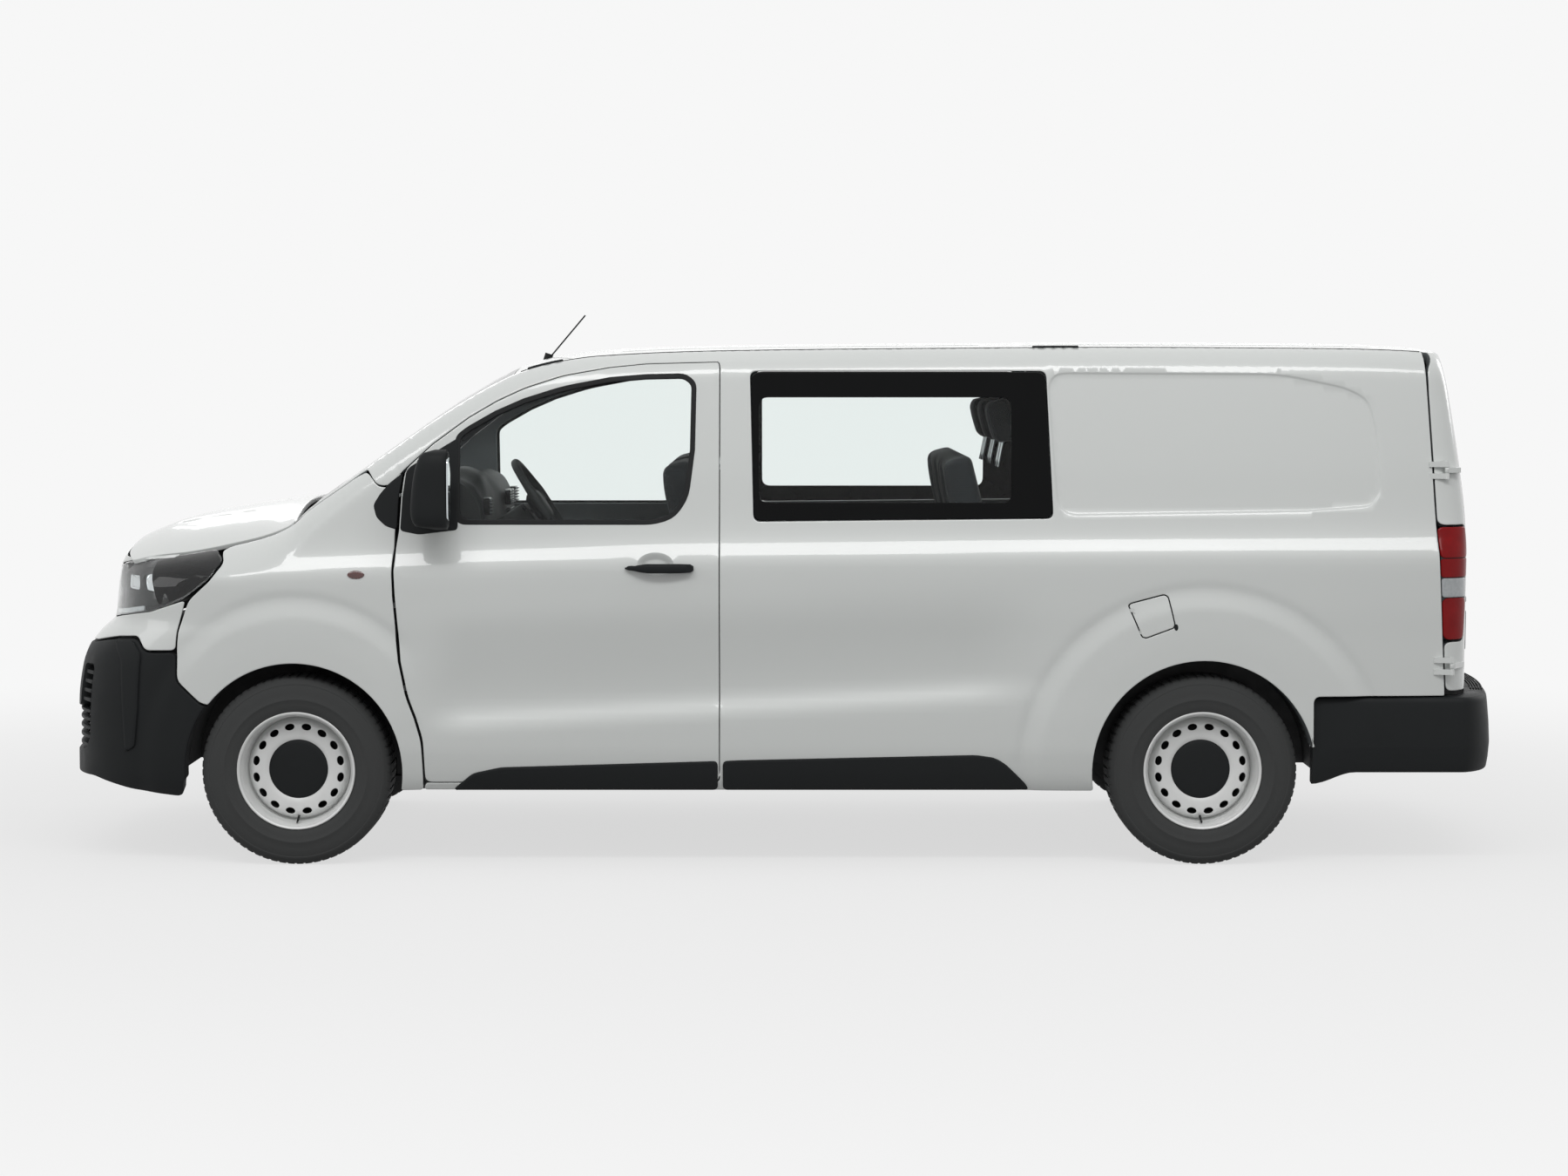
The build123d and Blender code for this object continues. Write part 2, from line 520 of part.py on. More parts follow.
load_bulkhead = inner & block(-1012, -996, -1, 1000, FLOOR_TOP, 1900)
load_bulkhead = load_bulkhead + mirrored(load_bulkhead)

# ---------------------------------------------------------------- rear bumper
back_curve = [(REAR_X + 1.5e-4 * y * y + float(corner(95.0, 150.0, 946.0 - abs(y))), y)
              for y in (-944, -930, -900, -850, -780, -600, -300, 0, 300, 600, 780, 850, 900, 930, 944)]
bumper_outline = back_curve + [(-1905, 944), (-1905, 860), (-2376, 860), (-2376, -860), (-1905, -860),
                               (-1905, -944)]
BUMPER_BOTTOM, BUMPER_TOP = 338.0, 612.0
rear_bumper = prism_z(bumper_outline, BUMPER_BOTTOM, BUMPER_TOP) - prism_z(
    [(-2540, -780), (-2540, 780), (-2300, 780), (-2300, -780)], 300, 552)
rear_bumper = rear_bumper - rear_arch - mirrored(rear_arch)


# ---------------------------------------------------------------- wheels, knuckles, axle
def wheel(x, sign):
    half = TYRE_WIDTH / 2
    tyre_profile = [(RIM_RADIUS, -half + 18), (RIM_RADIUS + 30, -half + 3), (275, -half), (315, -half + 8),
                    (334, -half + 18), (TYRE_RADIUS, -half + 34), (TYRE_RADIUS, half - 34), (334,
                            half - 18),
                    (315, half - 8), (275, half), (RIM_RADIUS + 30, half - 3), (RIM_RADIUS, half - 18)]
    rim_profile = [(30.0 + RUNNING_CLEARANCE, 8), (75, 8), (88, 22), (100, 30), (132, 40), (150, 36),
                   (172, 28),
                   (190, 34), (190, half - 16), (RIM_RADIUS, half - 8), (RIM_RADIUS, -half + 8), (193,
                           -half + 8),
                   (185, -half + 30), (185, 10), (172, 16), (150, 24), (132, 28), (108, 18), (96, -8),
                   (30.0 + RUNNING_CLEARANCE, -8)]
    placed = []
    for profile in (tyre_profile, rim_profile):
        wire = Wire(Polyline(*[(r, 0, w) for r, w in profile], close=True).edges())
        body = Solid.revolve(Face(wire), 360, Axis.Z)
        if profile is rim_profile:
            for k in range(16):
                a = 2 * math.pi * k / 16
                body = body - rod((151 * math.cos(a), 151 * math.sin(a), 0),
                                  (151 * math.cos(a), 151 * math.sin(a), 60),
                                  14)
        placed.append(moved(body.rotate(Axis.X, -90 * sign), x=x, y=sign * HALF_TRACK, z=AXLE_Z))
    return placed


KINGPIN_Y = 752.0


def knuckle(sign):
    x, y, z = FRONT_AXLE_X, sign * KINGPIN_Y, AXLE_Z
    upright = block(x - 34, x + 34, y - 16, y + 16, z - 84.7, z + 84.7)
    spindle = rod((x, y, z), (x, sign * (HALF_TRACK + 4), z), 30)
    stop = rod((x, y, z), (x, sign * (HALF_TRACK - 8.3), z), 44)
    pins = rod((x, y, z - 112), (x, y, z + 112), 12)
    steering_arm = block(x - 150, x - 20, y - 14, y + 14, z - 70, z - 50)
    return fused(upright, spindle, stop, pins, steering_arm)


def front_arms(sign):
    x, z = FRONT_AXLE_X, AXLE_Z
    pieces = []
    for low, high in ((z - 105, z - 85), (z + 85, z + 105)):
        arm = block(x - 32, x + 32, sign * 400, sign * (KINGPIN_Y + 24), low, high)
        pieces.append(arm - rod((x, sign * KINGPIN_Y, low - 5), (x, sign * KINGPIN_Y, high + 5),
                                12 + RUNNING_CLEARANCE))
    return pieces


front_wheels = {"left": wheel(FRONT_AXLE_X, 1), "right": wheel(FRONT_AXLE_X, -1)}
rear_wheels = {"left": wheel(REAR_AXLE_X, 1), "right": wheel(REAR_AXLE_X, -1)}
subframe = block(1440, 2130, -400, 400, 205, 262)
for sign in (1, -1):
    low_arm, high_arm = front_arms(sign)
    tower = block(FRONT_AXLE_X - 40, FRONT_AXLE_X + 40, sign * 400, sign * 470, 205, 760)
    strut = rod((FRONT_AXLE_X, sign * 560, AXLE_Z + 100), (FRONT_AXLE_X, sign * 560, 752), 38)
    subframe = subframe + low_arm + high_arm + tower + strut
links = [block(1310, 1460, y, y + 80, 215, 460) for y in (-390, 310)]
subframe = subframe + links[0] + links[1]
rear_axle = rod((REAR_AXLE_X, -HALF_TRACK - 4, AXLE_Z), (REAR_AXLE_X, HALF_TRACK + 4, AXLE_Z), 30)
rear_axle = rear_axle + rod((REAR_AXLE_X, -HALF_TRACK + 8.3, AXLE_Z),
                            (REAR_AXLE_X, HALF_TRACK - 8.3, AXLE_Z), 44)
for sign in (1, -1):
    rear_axle = rear_axle + prism_y([(REAR_AXLE_X - 50, 300), (REAR_AXLE_X - 50, 390), (-1000, 460),
                                     (-940, 460),
                                     (-940, 380), (REAR_AXLE_X + 60, 290)], sign * 575, sign * 620)
    rear_axle = rear_axle + rod((REAR_AXLE_X - 20, sign * 600, AXLE_Z),
                                (REAR_AXLE_X - 20, sign * 600, 460), 40)

# ---------------------------------------------------------------- engine, tank and the inside of the cab
SUBFRAME_TOP = 262.0
TANK_BOTTOM = 235.0
engine = block(1640, 2180, -360, 400, SUBFRAME_TOP, 960)
tank = block(-850, 60, -400, 380, TANK_BOTTOM, FLOOR_TOP - FLOOR_THICKNESS)
DASH_HALF_WIDTH = 686.0
dash = prism_y([(1120, 1010), (1090, 1250), (1120, 1360), (1190, 1395), (1330, 1360), (1560, 1290),
                (1600, 1150),
                (1334, 1010), (1334, 860), (1290, 860)], -DASH_HALF_WIDTH, DASH_HALF_WIDTH)


def seat(x, width, y, height, back_top):
    """Cushion, leaning backrest and head restraints of one seat, on a low box."""
    cushion = block(x, x + 480, y - width / 2, y + width / 2, height - 120, height)
    lean = math.tan(math.radians(14)) * (back_top - height)
    back = prism_y([(x + 10, height - 60), (x + 130, height - 10), (x + 130 - lean, back_top),
                    (x + 20 - lean, back_top)],
                   y - width / 2 + 10, y + width / 2 - 10)
    pedestal = block(x + 60, x + 400, y - width / 2 + 40, y + width / 2 - 40, FLOOR_TOP, height - 120)
    top_x = x + 75 - lean
    rests = []
    count = max(1, round(width / 480.0))
    for k in range(count):
        cy = y + (k - (count - 1) / 2) * width / count
        rests.append(block(top_x - 50, top_x + 50, cy - 125, cy + 125, back_top + 25, back_top + 200))
        rests.append(block(top_x - 12, top_x + 12, cy - 60, cy + 60, back_top - 20, back_top + 30))
    return fused(cushion, back, pedestal, *rests)


driver_seat = seat(330, 500, 400, 900, 1470)
passenger_seat = seat(330, 900, -330, 900, 1470)
bench = seat(-700, 1480, 0, 900, 1490)

# steering wheel and column, in the driver's place on the left
WHEEL_CENTRE = (904.0, 400.0, 1295.0)
COLUMN = (0.81915, 0.0, -0.57358)


def along_column(distance):
    return tuple(a + distance * b for a, b in zip(WHEEL_CENTRE, COLUMN))


grip_plane = Plane(origin=WHEEL_CENTRE, x_dir=(0, 1, 0), z_dir=COLUMN)
grip = grip_plane.location * Solid.make_torus(180, 16)
spokes = [grip_plane.location * (Rot(0, 0, angle) * (Pos(0, -22, -9) * Solid.make_box(178, 44, 18)))
          for angle in (0, 180, 90)]
steering_wheel = fused(grip, rod(along_column(-18), along_column(40), 60),
                       rod(WHEEL_CENTRE, along_column(300), 14), *spokes)
dash = dash + rod(along_column(55), along_column(250), 42)
dash = dash - rod(along_column(50), along_column(306), 14 + RUNNING_CLEARANCE)

# ---------------------------------------------------------------- lamps, aerial, wipers, mirrors
tail_lamp = outer & lamp_column & prism_y(rear_line, 600, OUTSIDE_Y) & tail_block
aerial = fused(rod((918, 0, 1818), (766, 0, 1998), 3.0), rod((925, 0, 1790), (905, 0, 1850),
        16)) - roof_block
WIPER_X = 1729.0                 # far enough back to clear the rear edge of the open bonnet
WIPER_REACH = 480.0
WIPER_PIVOTS_Y = (420.0, -260.0)
wipers = [rod((WIPER_X, y, 1170), (WIPER_X, y, 1245), 8) for y in WIPER_PIVOTS_Y]
for y in WIPER_PIVOTS_Y:
    tip_y = y - WIPER_REACH
    wipers.append(rod((WIPER_X, y, 1240), (WIPER_X, tip_y, float(roof_height(WIPER_X, tip_y)) + 6), 5))


def mirror(sign):
    shell = block(1192, 1325, 962, 1102, 1232, 1492)
    shell = shell.fillet(34, [e for e in shell.edges() if e.center().Y > 1101 or e.center().X > 1324])
    both = shell + block(1240, 1310, 880, 985, 1240, 1288)
    return both if sign > 0 else mirrored(both)


# ---------------------------------------------------------------- hinges
def stack(axis_low, axis_high, radius, gaps):
    """Coaxial knuckles between two points, split at the given shares of the length."""
    result = []
    for start, end in gaps:
        a = tuple(p + (q - p) * start for p, q in zip(axis_low, axis_high))
        b = tuple(p + (q - p) * end for p, q in zip(axis_low, axis_high))
        result.append(rod(a, b, radius))
    return result


DOOR_PIN = (1416.0, 930.0)
door_hinges = []
post_hinges = []
for z in (640.0, 940.0):
    x, y = DOOR_PIN
    low, high = (x, y, z - 30), (x, y, z + 30)
    body_low, door_middle, body_high = stack(low, high, 5, ((0, 0.33), (0.335, 0.665), (0.67, 1)))
    # the arm swings inwards round the edge of the wing before it enters the door
    door_hinges.append(door_middle + block(x - 3, x + 5, y - 56.5, y, z - 9.8, z + 9.8)
                       + block(x - 112, x + 5, y - 56.5, y - 51.5, z - 9.8, z + 9.8))
    for knuckle_piece, z_low, z_high in ((body_low, z - 30, z - 10.2), (body_high, z + 10.2, z + 30)):
        post_hinges.append(knuckle_piece + block(x - 5, x + 5, POST_OUTER, y, z_low, z_high))

rear_hinges = []
rear_lugs = []
for z in (724.0, 1427.0):
    low, high = rear_axis_point(z - 32), rear_axis_point(z + 32)
    cx, cy, cz = rear_axis_point(z)
    skin_ahead = float(flank(-2340, z)) - 12
    skin_behind = float(flank(-2430, z)) - 12
    body_low, door_middle, body_high = stack(low, high, 8, ((0, 0.33), (0.335, 0.665), (0.67, 1)))
    rear_hinges.append(fused(door_middle, prism_z([(cx - 2, cy + 7), (cx - 36, skin_behind + 16),
                                                   (cx - 36, skin_behind - 18),
                                                   (cx - 12, skin_behind - 18), (cx + 2, cy - 7)],
                                                   z - 9.4, z + 9.4)))
    for piece, z_low, z_high in ((body_low, z - 31, z - 11.6), (body_high, z + 11.6, z + 31)):
        rear_lugs.append(fused(piece, prism_z([(cx - 2, cy - 6), (cx + 2, cy + 7),
                                               (cx + 62, skin_ahead + 16),
                                               (cx + 62, skin_ahead - 8), (cx + 47, skin_ahead - 8)],
                                               z_low, z_high)))

BONNET_PIN = (1796.0, 500.0, 1245.0)
bonnet_hinges = []
bonnet_lugs = []
for sign in (1, -1):
    x, y, z = BONNET_PIN[0], sign * BONNET_PIN[1], BONNET_PIN[2]
    low, high = (x, y - 30, z), (x, y + 30, z)
    body_low, lid_middle, body_high = stack(low, high, 5, ((0, 0.33), (0.335, 0.665), (0.67, 1)))
    bonnet_hinges.append(lid_middle + block(x - 4, x + 4, y - 9.6, y + 9.6, z, z + 20))
    for piece, y_low, y_high in ((body_low, y - 30, y - 10.2), (body_high, y + 10.2, y + 30)):
        bonnet_lugs.append(piece + block(x - 4, x + 4, y_low, y_high, 1152, z))

# ---------------------------------------------------------------- finished pieces
front_door = join(front_door, *door_hinges)
right_side = mirrored(side - slide_hole)
hinge_lugs = post_hinges + [lug - body_flank for lug in rear_lugs]
rear_door = join(rear_door, *rear_hinges)
rear_window_hole = prism_x([(95, 1190), (95, 1700), (560, 1700), (600, 1660), (672, 1230), (640, 1190)],
                           -2700, -2300)
rear_door = rear_door - rear_window_hole
rear_glass_rows = [[(float(tail_back(y, z)) + 8, y, z) for y in range(60, 721, 44)] for z in range(1150,
        1751, 50)]
rear_glass = Solid.extrude(surface(rear_glass_rows), Vector(GLASS, 0, 0)) & rear_window_hole
bonnet = join(bonnet, *bonnet_hinges)
scuttle_panel = join(scuttle, *bonnet_lugs, wipers[0], wipers[2], wipers[1], wipers[3])
sliding = join(sliding, block(208, 219, -900, -860, 900, 960), block(-1020, -1008, -900, -870, 1000, 1060))
left_mirror = mirror(1) - body_flank
front_bumper = join(bumper, mirrored(bumper), panel)

nodes = {
    "left_side": [left_wall],
    "right_side": [right_side],
    "front_wings": both_sides(wing),
    "roof": [roof],
    "underbody": solids(underbody),
    "bulkhead": [load_bulkhead],
    "windscreen": [screen],
    "front_bumper": [front_bumper],
    "rear_bumper": [rear_bumper],
    "headlamps": both_sides(lamp),
    "tail_lamps": both_sides(tail_lamp),
    "scuttle_panel": solids(scuttle_panel),
    "sliding_door": [sliding],
    "side_windows": both_sides(crew_glass),
    "dashboard": [dash],
    "seats": [driver_seat, passenger_seat, bench],
    "hinges": hinge_lugs + [mirrored(lug) for lug in hinge_lugs] + flap_lugs,
    "engine": [engine],
    "fuel_tank": [tank],
    "rear_axle": [rear_axle],
    "front_subframe": [subframe],
    "aerial": [aerial],
    "left_front_door": [front_door],
    "right_front_door": [mirrored(front_door)],
    "left_door_glass": [door_glass],
    "right_door_glass": [mirrored(door_glass)],
    "left_mirror": [left_mirror],
    "right_mirror": [mirrored(left_mirror)],
    "left_rear_door": [rear_door],
    "right_rear_door": [mirrored(rear_door)],
    "left_rear_glass": [rear_glass],
    "right_rear_glass": [mirrored(rear_glass)],
    "bonnet": [bonnet],
    "fuel_flap": [flap],
    "left_knuckle": [knuckle(1)],
    "right_knuckle": [knuckle(-1)],
    "steering_wheel": [steering_wheel],
    "left_front_tyre": [front_wheels["left"][0]],
    "left_front_rim": [front_wheels["left"][1]],
    "right_front_tyre": [front_wheels["right"][0]],
    "right_front_rim": [front_wheels["right"][1]],
    "left_rear_tyre": [rear_wheels["left"][0]],
    "left_rear_rim": [rear_wheels["left"][1]],
    "right_rear_tyre": [rear_wheels["right"][0]],
    "right_rear_rim": [rear_wheels["right"][1]],
}

os.makedirs("parts", exist_ok=True)
for name, shapes in nodes.items():
    pieces = [piece for shape in shapes for piece in shape.solids()]
    pieces = [piece for piece in pieces if piece.volume > 500.0]
    export_step(pieces[0] if len(pieces) == 1 else Compound(children=pieces), "parts/" + name + ".step")
    bounds = Compound(children=pieces).bounding_box()
    print(name, len(pieces), round(sum(piece.volume for piece in pieces) / 1e6, 2),
          all(p.is_valid for p in pieces),
          [round(v) for v in (bounds.min.X, bounds.max.X, bounds.min.Y, bounds.max.Y, bounds.min.Z,
                              bounds.max.Z)])
print("fuel flap axis", FLAP_AXIS_LOW, FLAP_AXIS_HIGH)
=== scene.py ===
import math

import bmesh
import bpy
import numpy as np
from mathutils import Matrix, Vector
from mathutils.geometry import delaunay_2d_cdt


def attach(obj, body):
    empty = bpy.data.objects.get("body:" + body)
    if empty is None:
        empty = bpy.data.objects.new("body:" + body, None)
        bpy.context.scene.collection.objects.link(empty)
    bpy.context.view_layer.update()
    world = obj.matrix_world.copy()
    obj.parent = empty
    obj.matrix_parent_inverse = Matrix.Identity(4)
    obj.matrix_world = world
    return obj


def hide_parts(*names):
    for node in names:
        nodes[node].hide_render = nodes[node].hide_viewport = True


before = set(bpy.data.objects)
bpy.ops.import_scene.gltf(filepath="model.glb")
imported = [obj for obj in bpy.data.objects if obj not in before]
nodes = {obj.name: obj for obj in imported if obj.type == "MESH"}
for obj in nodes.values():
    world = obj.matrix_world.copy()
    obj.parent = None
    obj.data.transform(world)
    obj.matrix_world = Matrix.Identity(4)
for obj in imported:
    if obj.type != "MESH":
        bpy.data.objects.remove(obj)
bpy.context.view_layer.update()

# All lengths below are millimetres, turned to metres where a mesh is made.
# +X is forward, +Y is the left side, +Z is up, and the ground is z = 0.
BODY_HALF_WIDTH = 944.0
FLARE_GROOVE = 4.0               # depth of the hollow above each wheel-arch flare
HALF_TRACK = 817.5
FRONT_AXLE_X = 1763.0
REAR_AXLE_X = -1512.0
AXLE_Z = 343.0
WALL_INNER = 838.0
FRONT_DOORS = ["left_front_door", "right_front_door"]
REAR_DOORS = ["left_rear_door", "right_rear_door"]


# ---------------------------------------------------------------- small tools for the formulas
def smooth(low, high, value):
    """0 below low, 1 above high, and a smooth step between them."""
    share = np.clip((value - low) / (high - low), 0.0, 1.0)
    return share * share * (3.0 - 2.0 * share)


def ramp_down(low, high, value, blend=22.0):
    """1 below low and 0 above high, with a straight ramp between and a small curve at both ends."""
    def fold(x):
        return 0.5 * (x + np.sqrt(x * x + blend * blend))
    return (fold(high - value) - fold(low - value)) / (high - low)


def through(points, value):
    """A smooth curve through (position, height) points that never overshoots between two of them."""
    xs = np.array([p[0] for p in points], float)
    ys = np.array([p[1] for p in points], float)
    step = np.diff(xs)
    slope = np.diff(ys) / step
    tangent = np.zeros(len(xs))
    tangent[0] = slope[0]
    tangent[-1] = slope[-1]
    for i in range(1, len(xs) - 1):
        if slope[i - 1] * slope[i] > 0:
            w1 = 2 * step[i] + step[i - 1]
            w2 = step[i] + 2 * step[i - 1]
            tangent[i] = (w1 + w2) / (w1 / slope[i - 1] + w2 / slope[i])
    v = np.clip(np.asarray(value, float), xs[0], xs[-1])
    i = np.clip(np.searchsorted(xs, v, side="right") - 1, 0, len(step) - 1)
    h = step[i]
    t = (v - xs[i]) / h
    return (
        (2 * t**3 - 3 * t**2 + 1) * ys[i]
        + (t**3 - 2 * t**2 + t) * h * tangent[i]
        + (3 * t**2 - 2 * t**3) * ys[i + 1]
        + (t**3 - t**2) * h * tangent[i + 1]
    )


def corner(depth, length, distance):
    """A quarter ellipse: 0 at distance >= length from the edge, depth at the edge itself."""
    share = np.clip(1.0 - distance / length, 0.0, 0.985)
    return depth * (1.0 - np.sqrt(1.0 - share * share))


# ---------------------------------------------------------------- the outer skin
# heights along the body, from the tail to the nose
ROOF_LINE = [(-2640, 1795), (-2480, 1852), (-2350, 1876), (-2000, 1888), (-1176, 1893), (-500, 1889),
             (235, 1881), (672, 1866), (800, 1852), (945, 1821), (1050, 1779), (1177, 1708), (1440, 1530),
             (1705, 1342), (1820, 1262)]
EDGE_LINE = [(-2640, 1770), (-2480, 1828), (-2350, 1852), (-2000, 1864), (-1176, 1869), (-500, 1865),
             (235, 1856), (672, 1837), (800, 1820), (945, 1784), (1050, 1737), (1177, 1664), (1440, 1486),
             (1600, 1372), (1728, 1283), (1790, 1228), (1860, 1195), (2047, 1147), (2313, 1095), (2450, 1048),
             (2600, 985), (2760, 925)]
BONNET_LINE = [(1280, 1650), (1500, 1490), (1600, 1402), (1700, 1332), (1786, 1306), (1871, 1298),
               (2023, 1275), (2259, 1231), (2400, 1180), (2445, 1157), (2560, 1085), (2740, 985)]
BELT_LINE = [(-2640, 1126), (-2360, 1125), (219, 1107), (1375, 1070), (2100, 1040), (2700, 1020)]
# half the body's width against height, with the belt at 1100
SECTION = [(180, -92), (215, -70), (262, -38), (310, -17), (370, -7), (430, -2), (520, -2), (640, -4),
           (800, -3), (920, 0), (1040, 0), (1092, -3), (1120, -14), (1160, -34), (1225, -54), (1420, -87),
           (1600, -120), (1765, -152), (1900, -180)]
NOSE_LINE = [(180, 2560), (230, 2628), (308, 2665), (569, 2662), (700, 2645), (765, 2622), (830, 2572),
             (880, 2522), (960, 2512), (1065, 2498), (1110, 2478), (1160, 2440), (1230, 2360)]
TAIL_LINE = [(180, -2560), (600, -2562), (1100, -2564), (1250, -2556), (1450, -2532), (1650, -2500),
             (1780, -2474), (1840, -2455), (1900, -2425)]
PLAN_CURVE = 1.35e-4             # how fast both ends fall back from the middle


def flank(x, z):
    """Half the width of the body at (x, z), down from its top edge to the sill."""
    x = np.asarray(x, float)
    z = np.asarray(z, float)
    belt_shift = (through(BELT_LINE, x) - 1100.0) * smooth(640, 1020, z)
    width = BODY_HALF_WIDTH + through(SECTION, z - belt_shift)
    # the scooped swage low on the doors, rising towards the rear
    crest = 487.0 + (1240.0 - x) * 0.0535
    present = smooth(-1010, -640, x) * (1.0 - smooth(1130, 1330, x))
    width = width - 31.0 * present * smooth(-6, 86, z - crest) * (1.0 - smooth(86, 450, z - crest))
    # wheel-arch flares
    front_reach = np.hypot((x - FRONT_AXLE_X) / 0.93, z - AXLE_Z)
    rear_reach = np.hypot(x - REAR_AXLE_X, z - AXLE_Z)
    for reach, grow, share in ((front_reach, 0.0, smooth(1290, 1430, x)), (rear_reach, 34.0, 1.0)):
        step = 14.0 * ramp_down(556 + grow, 602 + grow, reach, 8.0)
        arch = step + 6.0 * ramp_down(468 + grow * 0.6, 556 + grow, reach)
        width = width + share * (arch - FLARE_GROOVE * np.exp(-((reach - 626 - grow) / 20.0) ** 2))
    # the body narrows towards both ends
    width = width - 58.0 * (np.clip(x - 1350.0, 0, None) / 1100.0) ** 2.2
    width = width - 24.0 * (np.clip(-1900.0 - x, 0, None) / 500.0) ** 2
    # rounded off into the roof, the screen pillar or the bonnet
    depth = 75.0 + 75.0 * smooth(1500, 1950, x)
    length = 95.0 + 35.0 * smooth(1500, 1950, x)
    return width - corner(depth, length, through(EDGE_LINE, x) - z)


def edge_half_width(x):
    """Half the width at the top edge, where the flank meets the roof, the screen or the bonnet."""
    return flank(x, through(EDGE_LINE, x))


def roof_height(x, y):
    """Height of the windscreen and the roof."""
    crown = through(ROOF_LINE, x) - through(EDGE_LINE, x)
    return through(ROOF_LINE, x) - crown * (np.abs(y) / edge_half_width(x)) ** 2


def bonnet_height(x, y):
    drop = through(BONNET_LINE, x) - through(EDGE_LINE, x)
    return through(BONNET_LINE, x) - drop * (np.abs(y) / edge_half_width(x)) ** 2.6


def nose_front(y, z):
    across = np.abs(y)
    return through(NOSE_LINE, z) - PLAN_CURVE * across**2 - corner(300.0, 430.0, 930.0 - across)


def tail_back(y, z):
    across = np.abs(y)
    return through(TAIL_LINE, z) + PLAN_CURVE * across**2 + corner(80.0, 130.0, 945.0 - across)


# ---------------------------------------------------------------- outlines in side view, (x, z)
DOOR_OUTLINE = [(1297, 300), (1304, 457), (1328, 540), (1356, 615), (1381, 740), (1392, 866), (1402, 980),
                (1406, 1069), (1400, 1150), (1391, 1210), (1384, 1330), (1371, 1430), (1270, 1523),
                (1142, 1618), (1040, 1678), (939, 1725), (800, 1770), (630, 1800), (500, 1813), (235, 1820),
                (231, 1800), (231, 300)]
DOOR_WINDOW = [(1180, 1240), (1180, 1546), (1142, 1576), (1040, 1634), (939, 1678), (800, 1722),
               (630, 1754), (500, 1765), (360, 1768), (325, 1740), (330, 1500), (352, 1330), (400, 1262),
               (470, 1240)]
CREW_WINDOW = [(108, 1245), (121, 1783), (-947, 1783), (-969, 1256)]
SLIDING_OUTLINE = [(219, 330), (219, 1810), (-985, 1810), (-1000, 1700), (-1020, 1200), (-1020, 760),
                   (-1060, 700), (-1060, 620), (-1020, 560), (-960, 480), (-950, 330)]
REAR_SHUT = [(-2324, 1849), (-2330, 1720), (-2352, 1250), (-2372, 830), (-2382, 629)]
FUEL_OUTLINE = [(-1236, 944), (-1246, 953), (-1366, 985), (-1382, 977), (-1406, 875), (-1400, 862),
                (-1300, 825), (-1284, 830)]


# ---------------------------------------------------------------- outlines
def arr(points):
    return np.array(points, float)


def leftward(points):
    """The outline in the order that keeps the material on its left."""
    p = arr(points)
    q = np.roll(p, -1, axis=0)
    return p if np.sum(p[:, 0] * q[:, 1] - q[:, 0] * p[:, 1]) > 0 else p[::-1]


def rounded(points, radius):
    """The closed outline with each clear corner turned into a small curve."""
    p = arr(points)
    out = []
    for i in range(len(p)):
        a, b, c = p[i - 1], p[i], p[(i + 1) % len(p)]
        la, lc = np.linalg.norm(a - b), np.linalg.norm(c - b)
        cosine = np.clip(np.dot(b - a, c - b) / max(la * lc, 1e-9), -1, 1)
        turn = math.acos(cosine)
        reach = min(radius, 0.45 * la, 0.45 * lc)
        if turn < 0.12 or reach < 0.5:
            out.append(b)
            continue
        start, end = b + (a - b) / la * reach, b + (c - b) / lc * reach
        steps = max(3, int(turn / 0.22))
        for k in range(steps + 1):
            t = k / steps
            out.append((1 - t) ** 2 * start + 2 * t * (1 - t) * b + t * t * end)
    return arr(out)


def spaced(points, step):
    """The closed outline with points no further apart than step."""
    p = arr(points)
    out = []
    for a, b in zip(p, np.roll(p, -1, axis=0)):
        count = max(1, int(np.ceil(np.linalg.norm(b - a) / step)))
        out += [a + (b - a) * k / count for k in range(count)]
    return arr(out)


def inset(points, distance):
    """The closed outline moved to its left."""
    p = arr(points)
    before, after = p - np.roll(p, 1, axis=0), np.roll(p, -1, axis=0) - p
    n1, n2 = [np.column_stack([-d[:, 1], d[:, 0]]) / np.maximum(np.linalg.norm(d, axis=1), 1e-9)[:, None]
              for d in (before, after)]
    k = np.maximum(1.0 + np.sum(n1 * n2, axis=1), 0.35)
    return p + (n1 + n2) / k[:, None] * distance


def distance_to(loops, points):
    """How far each point is from the nearest of the closed outlines."""
    best = np.full(len(points), 1e9)
    for loop in loops:
        a, b = loop, np.roll(loop, -1, axis=0)
        for first in range(0, len(points), 4000):
            q = points[first:first + 4000, None, :]
            ab = (b - a)[None]
            t = np.clip(np.sum((q - a[None]) * ab, axis=2) / np.maximum(np.sum(ab * ab, axis=2), 1e-9), 0, 1)
            gap = np.linalg.norm(q - a[None] - t[..., None] * ab, axis=2).min(axis=1)
            best[first:first + 4000] = np.minimum(best[first:first + 4000], gap)
    return best


def within(loops, points):
    """Whether each point is inside an odd number of the closed outlines."""
    inside = np.zeros(len(points), bool)
    x, y = points[:, 0], points[:, 1]
    for loop in loops:
        for (ax, ay), (bx, by) in zip(loop, np.roll(loop, -1, axis=0)):
            if ay != by:
                inside ^= ((ay > y) != (by > y)) & (x < (bx - ax) * (y - ay) / (by - ay) + ax)
    return inside


